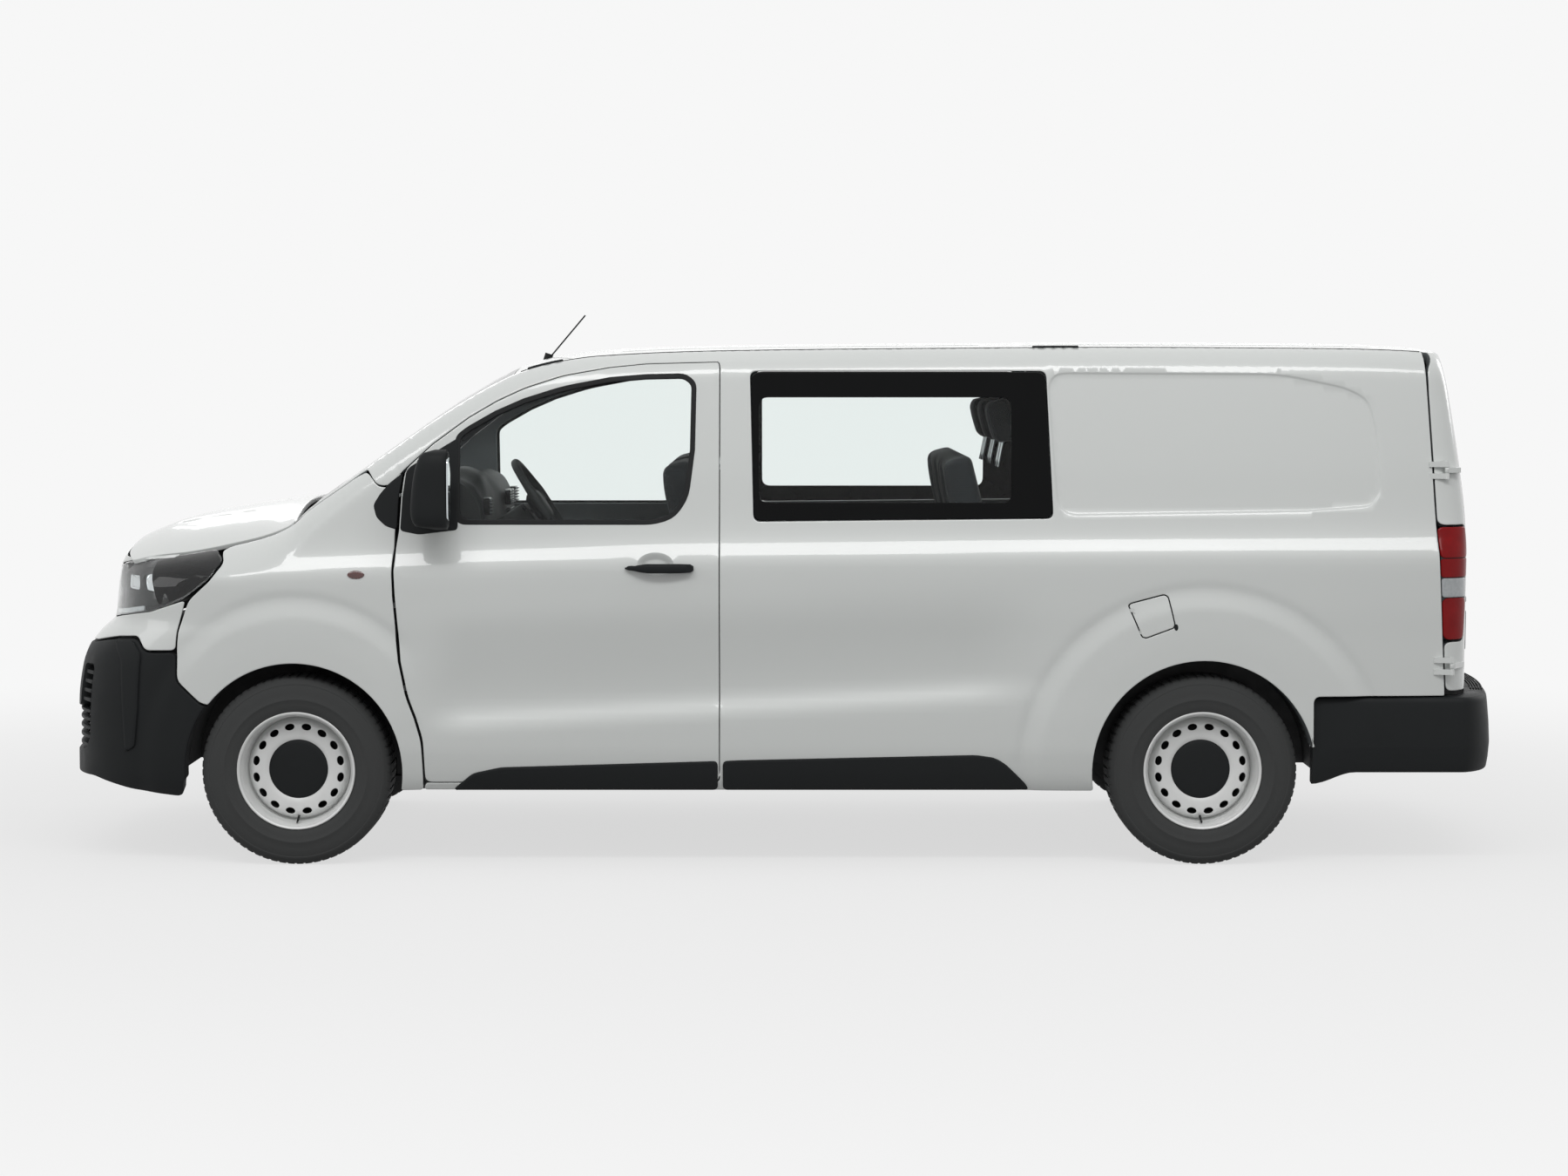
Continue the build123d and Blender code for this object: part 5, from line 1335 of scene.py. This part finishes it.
def soft_piece(name, mesh):
    verts, faces = upright(mesh)
    piece = make(name, verts, faces, "body", seat_cloth, angle=60.0)
    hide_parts("seats")


BACK_LEAN = math.radians(14.0)
for name, seat_x, low_y, high_y, back_top, places in (("driver_seat", 330.0, 150.0, 650.0, 1470.0, 1),
                                                     ("passenger_seat", 330.0, -780.0, -120.0, 1470.0, 2),
                                                     ("crew_bench", -700.0, -740.0, 740.0, 1490.0, 3)):
    middle, wide = (low_y + high_y) / 2, high_y - low_y
    soft_piece(name + "_cushion", pad_mesh(468, wide - 14, 104, 40, places, 14, 16, (-60.0, 110.0), 0.03,
                                           (seat_x + 244, middle, 834)))
    rise = back_top - 880.0
    long = rise / math.cos(BACK_LEAN) - 30.0
    at = (seat_x + 76 - math.tan(BACK_LEAN) * (rise / 2 + 24), middle, 880 + rise / 2)
    soft_piece(name + "_back", pad_mesh(long, wide - 20, 96, 38, places, 12, 18, (-long * 0.12, long * 0.2),
                                        math.pi / 2 + BACK_LEAN, at))
    top_x = seat_x + 75 - math.tan(BACK_LEAN) * (back_top - 840)
    post_x, post_y = super_ring(6.0, 6.0, 2.0, 12)
    posts = []
    for k in range(places):
        y = low_y + wide * (k + 0.5) / places
        number = f"_{k + 1}" if places > 1 else ""
        head_rest = pad_mesh(168, 236, 84, 38, 1, 10, 0, (), math.pi / 2 + BACK_LEAN,
                             (top_x - 22, y, back_top + 112))
        soft_piece(f"{name}_head_rest{number}", head_rest)
        for d in (-58.0, 58.0):
            posts.append(loft([ring(top_x - 16 - (z - back_top) * 0.2 + post_x, y + d + post_y, z)
                               for z in (back_top - 60, back_top + 60)]))
    single(name + "_head_rest_posts", "body", bright_metal, joined(*posts))
    # the moulded base under each place, with its kick panels
    base = []
    for y0, y1 in [(low_y + 30 + wide * k / places, low_y - 30 + wide * (k + 1) / places)
                   for k in range(places)]:
        rings = []
        for z, k in ((521, 1.0), (545, 0.985), (600, 0.95), (700, 0.93), (762, 0.97), (786, 0.99)):
            dx, dy = super_ring(178 * k, (y1 - y0) / 2 * k, 7.0, 40)
            rings.append(ring(seat_x + 226 + dx, (y0 + y1) / 2 + dy, z))
        base.append(loft(rings))
    single(name + "_base", "body", dark_trim, joined(*base), slot="trim_plastic", angle=40.0)


# ---------------------------------------------------------------- dashboard
DASH = [(1132, 1016), (1104, 1080), (1094, 1230), (1104, 1300), (1136, 1362), (1196, 1392), (1330, 1358),
        (1440, 1324), (1552, 1288), (1590, 1250), (1594, 1158), (1500, 1110), (1336, 1016), (1330, 868),
        (1296, 866), (1280, 1004)]


def dash_ring(y):
    """The dashboard's outline at y: it stands out towards the cab in the middle and before the driver."""
    p = rounded(DASH, 24.0)
    centre = np.exp(-((y + 60) / 190.0) ** 4)
    hood = np.exp(-((y - 400) / 165.0) ** 4)
    cabin_side = smooth(1230, 1120, p[:, 0])
    upper = smooth(1230, 1370, p[:, 1])
    end = smooth(640, 686, abs(y))
    p[:, 0] += -26.0 * centre * cabin_side + 14.0 * end * cabin_side - 12.0 * hood * cabin_side * upper
    p[:, 1] += 40.0 * hood * upper * smooth(1420, 1230, p[:, 0]) - 10.0 * end * upper
    return ring(p[:, 0], y, p[:, 1])


dash_y = sorted(set(list(np.arange(-680.0, 681.0, 17.0)) + [-686.0, -684.0, 684.0, 686.0]))
single("dashboard_moulding", "body", dark_trim, loft([dash_ring(y) for y in dash_y]), slot="trim_plastic",
       replaces=("dashboard",), angle=44.0)


def dash_plate(y0, y1, z0, z1, x, deep=9.0, power=5.0, tip=0.0):
    """A small plate on the dashboard's face towards the cab; tip moves its top forward."""
    dy, dz = super_ring((y1 - y0) / 2, (z1 - z0) / 2, power, 40)
    return loft([np.column_stack([x + d + tip * (dz / (z1 - z0) + 0.5), (y0 + y1) / 2 + dy * k,
                                  (z0 + z1) / 2 + dz * k])
                 for d, k in ((deep, 1.0), (1.5, 1.0), (0.0, 0.975))])


def vent_slats(y0, y1, z0, z1, x, count=5):
    return joined(*[rounded_box((x, y0 + 6, z - 2.0), (x + 12, y1 - 6, z + 2.0), 1.5)
                    for z in np.linspace(z0 + 9, z1 - 9, count)])


vents = [(-640, -540, 1255, 1320, 1082), (560, 650, 1255, 1320, 1082), (-150, -70, 1268, 1326, 1056),
         (-50, 30, 1268, 1326, 1056)]
single("dashboard_vent_frames", "body", gloss_black, joined(*[dash_plate(*v, 22.0) for v in vents]))
single("dashboard_vent_slats", "body", trim_grey,
       joined(*[vent_slats(v[0], v[1], v[2], v[3], v[4] - 7) for v in vents]))
single("centre_screen", "body", gloss_black, dash_plate(-152, 32, 1150, 1256, 1054, 24.0, 9.0))
single("heater_panel", "body", trim_grey, dash_plate(-150, 30, 1058, 1136, 1058, 30.0, 7.0, 10.0))
dy, dz = round_ring(1.0, 28)
knobs = [loft([ring(1062 - d, y + r * dy, 1098 + r * dz)
               for r, d in ((17.0, -6.0), (17.0, 8.0), (15.0, 16.0), (11.0, 18.0))]) for y in (-120, -60, 0)]
single("heater_knobs", "body", black_plastic, joined(*knobs))
single("glove_box_lid", "body", dark_trim, dash_plate(-600, -215, 1060, 1222, 1086, 18.0, 9.0))
single("instrument_glass", "body", gloss_black, dash_plate(285, 515, 1300, 1392, 1100, 20.0, 4.0, 26.0))
# the gear lever on the centre stack, with its ribbed gaiter
gaiter = loft([level_ring(46 - 5 * k + (3 if k % 2 else 0), 1060 - 3 * k, -60, 1016 + 9 * k)
               for k in range(7)])
lever = loft([level_ring(r, x, -60, z) for r, x, z in ((7.5, 1040, 1060), (7.5, 1030, 1118), (19, 1028, 1128),
                                                       (24, 1026, 1150), (22, 1024, 1170), (12, 1022, 1182))])
single("gear_lever_gaiter", "body", seal_rubber, gaiter, angle=60.0)
single("gear_lever", "body", gloss_black, lever, angle=60.0)
dx, dy = super_ring(78, 104, 6.0, 40)
console = loft([ring(1082 + dx * k, -60 + dy * k, z)
                for z, k in ((866, 0.96), (880, 1.0), (1004, 1.0), (1018, 0.95))])
single("gear_lever_console", "body", dark_trim, console, slot="trim_plastic", angle=44.0)


# ---------------------------------------------------------------- steering wheel
HUB = (904.0, 400.0, 1295.0)
COLUMN = arr([0.81915, 0.0, -0.57358])      # from the driver towards the dashboard
WHEEL_UP = arr([0.57358, 0.0, 0.81915])


def at_column(points):
    """Points (across, up the wheel's face, along the column) as points of the van."""
    p = arr(points)
    return arr(HUB) + p[:, :1] * arr([[0, 1, 0]]) + p[:, 1:2] * WHEEL_UP + p[:, 2:] * COLUMN


rim_rings = []
for k in range(72):
    a = 2 * math.pi * k / 72
    thumb = 1.0 + 0.16 * math.exp(-((math.sin(a) - 0.25) / 0.2) ** 2)
    t = 2 * np.pi * np.arange(14) / 14
    r = 180.0 + 14.5 * thumb * np.cos(t) - 1.5
    rim_rings.append(at_column(np.column_stack([r * math.cos(a), r * math.sin(a), 15.0 * thumb * np.sin(t)])))
verts = [tuple(p) for ring_points in rim_rings for p in ring_points]
faces = [(k * 14 + j, k * 14 + (j + 1) % 14, (k + 1) % 72 * 14 + (j + 1) % 14, (k + 1) % 72 * 14 + j)
         for k in range(72) for j in range(14)]
spokes = []
for a in (8.0, 172.0, 270.0):
    a = math.radians(a)
    rows = []
    for r in np.linspace(48, 172, 8):
        dx, dz = super_ring(26.0 - 9.0 * math.sin((r - 48) / 124 * math.pi), 7.5, 3.0, 20)
        rows.append(at_column(np.column_stack([r * math.cos(a) - dx * math.sin(a),
                                               r * math.sin(a) + dx * math.cos(a),
                                               dz + 20.0 * (1 - (r - 48) / 124)])))
    spokes.append(loft(rows))
hub_rows = []
for depth, k in ((46, 0.75), (34, 0.95), (10, 1.0), (-2, 0.96), (-8, 0.82), (-10, 0.5)):
    dx, dz = super_ring(74.0 * k, 62.0 * k, 3.4, 40)
    hub_rows.append(at_column(ring(dx, dz - 4, depth)))
single("steering_wheel_rim", ["steering_wheel"], dark_trim, (verts, faces), slot="trim_plastic",
       replaces=("steering_wheel",), angle=60.0)
single("steering_wheel_centre", ["steering_wheel"], black_plastic, joined(loft(hub_rows), *spokes),
       angle=50.0)
shroud = []
for depth, wide, high in ((58, 46, 40), (66, 52, 46), (150, 52, 50), (250, 60, 62), (270, 60, 62)):
    dx, dz = super_ring(wide, high, 3.6, 32)
    shroud.append(at_column(ring(dx, dz - 6, depth)))
single("steering_column_shroud", "body", dark_trim, loft(shroud), angle=44.0)
shaft = loft([at_column(ring(*round_ring(12, 20), depth)) for depth in (40, 64)])
single("steering_shaft", ["steering_wheel"], chassis_black, shaft)
dx, dz = super_ring(11.0, 7.0, 3.0, 12)
stalks = [loft([at_column(ring(way * r, dx * k + 14 + r * 0.05, dz * k + 74 - r * 0.12))
                for r, k in ((40, 0.6), (60, 0.7), (140, 0.9), (172, 1.0), (176, 0.7))]) for way in (-1, 1)]
single("column_stalks", "body", black_plastic, joined(*stalks))


# ---------------------------------------------------------------- inside of the front doors
def inside_box(x0, x1, z0, z1, y0, y1, power=5.0):
    """A moulded shape on the door's inner face, from y1 at the door out to y0 in the cab."""
    dx, dz = super_ring((x1 - x0) / 2, (z1 - z0) / 2, power, 40)
    return loft([ring((x0 + x1) / 2 + dx * k, y, (z0 + z1) / 2 + dz * k)
                 for y, k in ((y1, 1.0), (y0 + 12, 0.99), (y0 + 3, 0.965), (y0, 0.9))])


pair("door_armrest", FRONT_DOORS, dark_trim, joined(inside_box(560, 1010, 985, 1050, 772, 836),
                                                   inside_box(980, 1110, 1010, 1150, 792, 836)),
     slot="trim_plastic", angle=44.0)
pair("door_pocket", FRONT_DOORS, dark_trim, inside_box(430, 1240, 560, 720, 786, 836, 8.0), angle=44.0)
pair("door_card_cloth", FRONT_DOORS, card_cloth, inside_box(420, 1180, 800, 1150, 829, 836, 7.0), angle=44.0)
pair("door_pull", FRONT_DOORS, bright_metal, inside_box(1040, 1120, 1165, 1195, 824, 836, 4.0), angle=44.0)


# ---------------------------------------------------------------- cab floor mat
for name, low, high in (("cab_floor_mat", 230, 1270), ("crew_floor_mat", -560, 190)):
    rings = []
    for z, k in ((519, 1.0), (526, 1.0), (529, 0.995)):
        dx, dy = super_ring((high - low) / 2 * k, 770 * k, 14.0, 60)
        rings.append(ring((low + high) / 2 + dx, dy, z))
    single(name, "body", seal_rubber, loft(rings), angle=30.0)


# ---------------------------------------------------------------- rear doors
TOP_U = np.linspace(-40.0, 1900.0, 195)
TOP_V = meets(on_tail, roof_height, TOP_U, 1700.0, 1900.0, 18)


def rear_raw(u, v):
    top = np.interp(u, TOP_U, TOP_V)
    over = np.maximum(v - top, 0.0)
    p = on_tail(u, np.minimum(v, top))
    p[:, 0] += over
    roof = roof_height(p[:, 0], np.minimum(np.abs(p[:, 1]), edge_half_width(p[:, 0])))
    p[:, 2] = np.where(over > 0, roof, p[:, 2])
    return p


def on_rear(u, v):
    """The tail, rolled over into the roof above it."""
    u, v = np.asarray(u, float), np.asarray(v, float)
    return sum(rear_raw(u, v + d) * k for d, k in ((-16, 0.12), (-8, 0.23), (0, 0.3), (8, 0.23), (16, 0.12)))


REAR_HINGE_Z = (724.0, 1427.0)


def hinge_y(z):
    """Where the rear doors' leaning hinge line is at height z."""
    return 936.0 - 0.1195 * (z - REAR_HINGE_Z[0])


def shut_x(z):
    p = arr(REAR_SHUT[::-1])
    return float(np.interp(z, p[:, 1], p[:, 0]))


LAMP_LOW, LAMP_HIGH = 817.0, 1224.0
right_top = turned(on_tail, [("x", shut_x(z) - 6, z) for z in (1300, 1400, 1500, 1600, 1700, 1790)])
door_back = [("y", 4, 632), ("y", 400, 632), ("y", 800, 632), ("x", shut_x(632) - 6, 632),
             ("x", shut_x(720) - 6, 720), ("x", shut_x(800) - 6, 808), ("y", hinge_y(810) - 70, 810)]
door_back += [("y", hinge_y(z) - 70, z) for z in (900, 1000, 1100, 1231)] + [("x", shut_x(1231) - 6, 1231)]
door_uv = np.vstack([turned(on_tail, door_back), right_top])
over_y = turned(on_tail, [("y", y, 1780) for y in (690, 560, 400, 200, 4)])
for u, _ in over_y:
    top = float(np.interp(u, TOP_U, TOP_V))
    edge_x = on_tail(arr([u]), arr([top]))[0, 0]
    door_uv = np.vstack([door_uv, [[u, top - 2336.0 - edge_x]]])
rear_window = turned(on_tail, y_points([(95, 1190), (95, 1700), (560, 1700), (600, 1660), (672, 1230),
                                        (640, 1190)]))
rear_clear = turned(on_tail, y_points([(135, 1232), (135, 1662), (540, 1662), (566, 1630), (630, 1262),
                                       (608, 1232)]))
lower_press = turned(on_tail, y_points([(70, 690), (70, 1080), (560, 1090), (700, 1080), (735, 1000),
                                        (735, 840), (700, 720)]))
rear_rows = np.vstack([np.column_stack([TOP_U[4:96:2], TOP_V[4:96:2] + d])
                       for d in (-30, -18, -8, 0, 8, 18, 30, 50)])
panel("rear_door_panel", REAR_DOORS, (paint, trim_grey), on_rear, door_uv, replaces=("rear_door",),
      slot="paint", corner_radius=24.0, holes=[rear_window], depth=34.0, grid=24.0, extra=rear_rows,
      pressed=[(lower_press, 16.0, 9.0)])
panel("rear_window_border", REAR_DOORS, gloss_black, on_tail, inset(leftward(rear_window), -5.0),
      holes=[rear_clear], rise=1.5, depth=9.0, edge=2.0, corner_radius=34.0)
panel("rear_window_glass", REAR_DOORS, window_glass, on_tail, inset(leftward(rear_clear), -7.0), rise=-1.5,
      depth=4.0, edge=1.0, corner_radius=34.0, slot="glass", grid=60.0, replaces=("rear_glass",))


# ---------------------------------------------------------------- the arms that carry the doors
def hinge_arm(x, y, z, knuckle, plan, radius, half):
    """A knuckle round the pin at (x, y), from (height, radius) pairs, and a plate with the plan's outline."""
    return joined(loft([level_ring(r, x, y, z + d) for d, r in knuckle]),
                  slab(rounded(plan, radius), z - half, z + half))


rear_arms = []
for z in REAR_HINGE_Z:
    x, y = -2404.0 + 0.01422 * (z - REAR_HINGE_Z[0]), hinge_y(z)
    near, far = [float(tail_back(at, z)) for at in (y - 12, y - 84)]
    plan = [(x - 3, y + 7.0), (x - 14, y + 1), (near - 9, y - 16), (far - 5, y - 84), (far + 6, y - 84),
            (x - 12, y - 30), (x - 2, y - 7.0)]
    rear_arms.append(hinge_arm(x, y, z, ((-9.4, 7.0), (-8.4, 8.0), (8.4, 8.0), (9.4, 7.0)), plan, 5.0, 9.0))
pair("rear_hinge_arms", REAR_DOORS, paint, joined(*rear_arms), slot="paint", angle=50.0)
# a front door's arm passes round the wing's edge before it enters the door
x, y = 1416.0, 930.0
plan = [(x + 5, y - 2), (x + 5, y - 56.5), (x - 112, y - 56.5), (x - 112, y - 51.5), (x - 3, y - 51.5),
        (x - 3, y - 2)]
door_arms = [hinge_arm(x, y, z, ((-9.8, 4.4), (-9.2, 5.0), (9.2, 5.0), (9.8, 4.4)), plan, 2.0, 9.8)
             for z in (640.0, 940.0)]
pair("front_hinge_arms", FRONT_DOORS, paint, joined(*door_arms), slot="paint", angle=50.0)
# pull handle and bare plate recess
handle_z = 1130.0
rows = []
for y, off, k in ((58, 0, 0.8), (66, 12, 1.0), (96, 19, 1.0), (150, 20, 1.0), (182, 12, 0.95), (190, 0, 0.7)):
    dx, dz = super_ring(7.0, 17.0, 3.0, 20)
    rows.append(ring(float(tail_back(y, handle_z)) - off - dx, y, handle_z + dz * k))
single("rear_door_handle", [REAR_DOORS[0]], black_plastic, loft(rows), angle=50.0, slot="trim_plastic")
panel("rear_plate_recess", [REAR_DOORS[0]], black_plastic, on_tail,
      turned(on_tail, y_points([(92, 760), (92, 905), (660, 905), (660, 760)])), sides=(1,), rise=4.0,
      depth=14.0, edge=4.0, corner_radius=16.0,
      pressed=[(turned(on_tail, y_points([(104, 772), (104, 893), (648, 893), (648, 772)])), 6.0, 3.0)])
panel("rear_blank_plate", [REAR_DOORS[0]], plate_blank, on_tail,
      turned(on_tail, y_points([(116, 777), (116, 888), (636, 888), (636, 777)])), sides=(1,), rise=4.5,
      depth=4.0, edge=1.5, corner_radius=8.0, grid=60.0)
panel("rear_plate_lamp", [REAR_DOORS[0]], black_plastic, on_tail,
      turned(on_tail, y_points([(300, 918), (300, 946), (450, 946), (450, 918)])), sides=(1,), rise=16.0,
      depth=16.0, edge=7.0, corner_radius=10.0, grid=20.0)
panel("right_rear_shut_strip", [REAR_DOORS[0]], seal_rubber, on_tail,
      turned(on_tail, y_points([(-9, 640), (-9, 1770), (9, 1770), (9, 640)])), sides=(1,), rise=-3.0,
      depth=8.0, edge=2.0, corner_radius=3.0, grid=40.0)


# ---------------------------------------------------------------- tail lamps
def lamp_band(low, high, gap=0.0):
    """Part of the tail lamp between two heights, from the rear shut line round onto the tail."""
    rows = np.linspace(low, high, 4)
    outer = [("x", shut_x(z) - 1.5 - gap, z) for z in rows]
    inner = [("y", hinge_y(z) - 64 + gap, z) for z in rows[::-1]]
    return turned(on_tail, outer + inner)


panel("tail_lamp_housing", "body", chassis_black, on_tail, lamp_band(LAMP_LOW, LAMP_HIGH), rise=-3.0,
      depth=44.0, edge=2.0, corner_radius=26.0, grid=24.0)
for name, finish, low, high in (("stop_lens", red_lens, LAMP_LOW + 1, 968.0),
                                ("reversing_lens", clear_ribs, 971.0, 1040.0),
                                ("indicator_lens", red_lens, 1043.0, 1110.0),
                                ("tail_lens", red_lens, 1113.0, LAMP_HIGH - 1)):
    panel(name, "body", finish, on_tail, lamp_band(low, high, 2.0), rise=2.5, depth=9.0, edge=3.0,
          corner_radius=24.0, grid=12.0, slot="lamp_red", replaces=("tail_lamps",))


# ---------------------------------------------------------------- rear bumper
BUMPER_SECTION = [(-10, 338), (0, 345), (6, 380), (10, 430), (7, 500), (2, 560), (-2, 596), (-10, 610),
                  (-40, 614), (-86, 614), (-88, 604), (-60, 590), (-52, 500), (-52, 400), (-56, 342)]


def bumper_path():
    """Points (x, y, direction out) along the bumper's plan, from arch to arch round the tail."""
    y = np.linspace(0, 936, 60)
    x = -2661 + 1.5e-4 * y ** 2 + corner(95.0, 150.0, 946.0 - y)
    side = [(forward, 941.0) for forward in np.arange(x[-1] + 20, -1900, 24)] + [(-1905.0, 941.0)]
    half = np.vstack([np.column_stack([x, y]), side])
    full = np.vstack([(half * arr([[1, -1]]))[::-1], half[1:]])
    along = np.gradient(full, axis=0)
    out = np.column_stack([-along[:, 1], along[:, 0]])
    out /= np.linalg.norm(out, axis=1)[:, None]
    return [(*spot, *(n if out[len(out) // 2, 0] < 0 else -n)) for spot, n in zip(full, out)]


BUMPER_PATH = bumper_path()
BUMPER_FOOT, ARCH_FOOT = 338, 296        # lowest edge behind, and where the bumper meets the wheel arch
BUMPER_BEND = 480                        # the section is stretched down only below this height
rings = []
for x, y, nx, ny in BUMPER_PATH:
    low = BUMPER_FOOT + (ARCH_FOOT - BUMPER_FOOT) * (1 - smooth(-1905, -2060, x))
    stretch = (BUMPER_BEND - low) / (BUMPER_BEND - BUMPER_FOOT)
    # the step that the foot stands on is a little lower, along the tail only
    step_drop = 3.2 * smooth(700, 640, abs(y))
    rings.append(arr([(x + nx * (d - 6.0), y + ny * (d - 6.0),
                       (z if z > BUMPER_BEND else BUMPER_BEND - (BUMPER_BEND - z) * stretch)
                       - step_drop * smooth(588, 606, z)) for d, z in rounded(BUMPER_SECTION, 7.0)]))
single("rear_bumper_cover", "body", black_plastic, loft(rings), slot="black_plastic",
       replaces=("rear_bumper",), angle=44.0)
RIB = ((-2.6, 0), (-1.8, 4), (1.8, 4), (2.6, 0))
step_ribs = [loft([arr([(x + nx * (offset + d), y + ny * (offset + d), 613.0 + h) for d, h in RIB])
                   for x, y, nx, ny in BUMPER_PATH if abs(y) < 640 and x < -2400])
             for offset in (-24, -34, -44, -54, -64)]
single("bumper_step_ribs", "body", black_plastic, joined(*step_ribs))


# ---------------------------------------------------------------- CAD nodes that keep their own shape
for finish, names in ((chassis_black, ("underbody", "engine", "fuel_tank", "rear_axle", "front_subframe",
                                       "left_knuckle", "right_knuckle")),
                      (black_plastic, ("scuttle_panel", "aerial")), (trim_grey, ("bulkhead",)),
                      (paint, ("hinges",)), (window_glass, ("left_door_glass", "right_door_glass"))):
    for name in names:
        nodes[name].data.materials.clear()
        nodes[name].data.materials.append(finish)


# ---------------------------------------------------------------- floor, light and camera
scene = bpy.context.scene
scene.view_settings.view_transform = "Standard"
PALE = linear("#f7f7f7")
FLOOR_FADE = (3.0, 7.5)          # metres from the van's middle over which the floor turns into the backdrop
FLOOR_GLOW = 0.72
AMBIENT = 0.52


def flat_piece(name, corners, finish):
    mesh = bpy.data.meshes.new(name)
    mesh.from_pydata(corners, [], [(0, 1, 2, 3)])
    mesh.materials.append(finish)
    piece = bpy.data.objects.new(name, mesh)
    scene.collection.objects.link(piece)
    return piece


def seen_directly(tree):
    """1 for what the camera sees itself, or in gloss, or through glass."""
    path = add(tree, "ShaderNodeLightPath")
    seen = add(tree, "ShaderNodeMath", {0: path.outputs["Is Camera Ray"],
                                        1: path.outputs["Is Transmission Ray"]},
               operation="MAXIMUM")
    seen = add(tree, "ShaderNodeMath", {0: seen.outputs["Value"], 1: path.outputs["Is Glossy Ray"]},
               operation="MAXIMUM")
    return seen.outputs["Value"]


# painted studio floor: it takes the shadow near the van and fades to the backdrop's own tone further out
floor_finish, tree = new_material("pale_studio_floor")
diffuse = add(tree, "ShaderNodeBsdfDiffuse", {"Color": linear("#dcdcdc")})
glow = add(tree, "ShaderNodeEmission", {"Color": PALE, "Strength": 1.0})
place = add(tree, "ShaderNodeTexCoord").outputs["Object"]
reach = add(tree, "ShaderNodeVectorMath", {0: place}, operation="LENGTH")
fade = add(tree, "ShaderNodeMapRange", {"Value": reach.outputs["Value"], "From Min": FLOOR_FADE[0],
                                        "From Max": FLOOR_FADE[1], "To Min": FLOOR_GLOW, "To Max": 1.0},
           interpolation_type="SMOOTHSTEP")
share = add(tree, "ShaderNodeMixShader", {0: fade.outputs["Result"], 1: diffuse.outputs["BSDF"],
                                          2: glow.outputs["Emission"]})
bounce = add(tree, "ShaderNodeBsdfDiffuse", {"Color": linear("#8c8c8c")})
pick = add(tree, "ShaderNodeMixShader", {0: seen_directly(tree), 1: bounce.outputs["BSDF"],
                                         2: share.outputs["Shader"]})
add(tree, "ShaderNodeOutputMaterial", {"Surface": pick.outputs["Shader"]})
flat_piece("studio_floor", [(-60, -60, 0), (60, -60, 0), (60, 60, 0), (-60, 60, 0)], floor_finish)

world = bpy.data.worlds.new("pale_studio")
scene.world = world
world.use_nodes = True
tree = world.node_tree
tree.nodes.clear()
ambient = add(tree, "ShaderNodeBackground", {"Color": linear("#ffffff"), "Strength": AMBIENT})
backdrop = add(tree, "ShaderNodeBackground", {"Color": PALE, "Strength": 1.0})
mix = add(tree, "ShaderNodeMixShader", {0: seen_directly(tree), 1: ambient.outputs["Background"],
                                        2: backdrop.outputs["Background"]})
add(tree, "ShaderNodeOutputWorld", {"Surface": mix.outputs["Shader"]})


def softbox(name, place, target, size, power):
    light = bpy.data.lights.new(name, "AREA")
    light.shape, light.size, light.size_y, light.energy = "RECTANGLE", size[0], size[1], power
    lamp = bpy.data.objects.new(name, light)
    lamp.location = place
    lamp.rotation_mode = "QUATERNION"
    lamp.rotation_quaternion = (Vector(target) - Vector(place)).to_track_quat("-Z", "Y")
    scene.collection.objects.link(lamp)


softbox("key_softbox", (0, 5.8, 6.6), (0, 0.4, 0.9), (10.0, 1.3), 270)
softbox("front_softbox", (8.0, 3.0, 3.6), (1.0, 0.0, 0.8), (3.0, 3.0), 45)
softbox("rear_softbox", (-8.0, -4.0, 4.0), (-1.0, 0.0, 0.8), (3.0, 3.0), 80)
softbox("far_softbox", (0, -9.0, 4.6), (0.0, 0.0, 0.9), (10.0, 2.5), 120)

camera = bpy.data.cameras.new("camera")
camera.lens = 76.1
camera.sensor_width = 36.0
camera_object = bpy.data.objects.new("camera", camera)
camera_object.location = (0.0, 12.82, 1.796)
camera_object.rotation_euler = (math.radians(90.0 - 3.80), 0.0, math.radians(180.0))
scene.collection.objects.link(camera_object)
scene.camera = camera_object
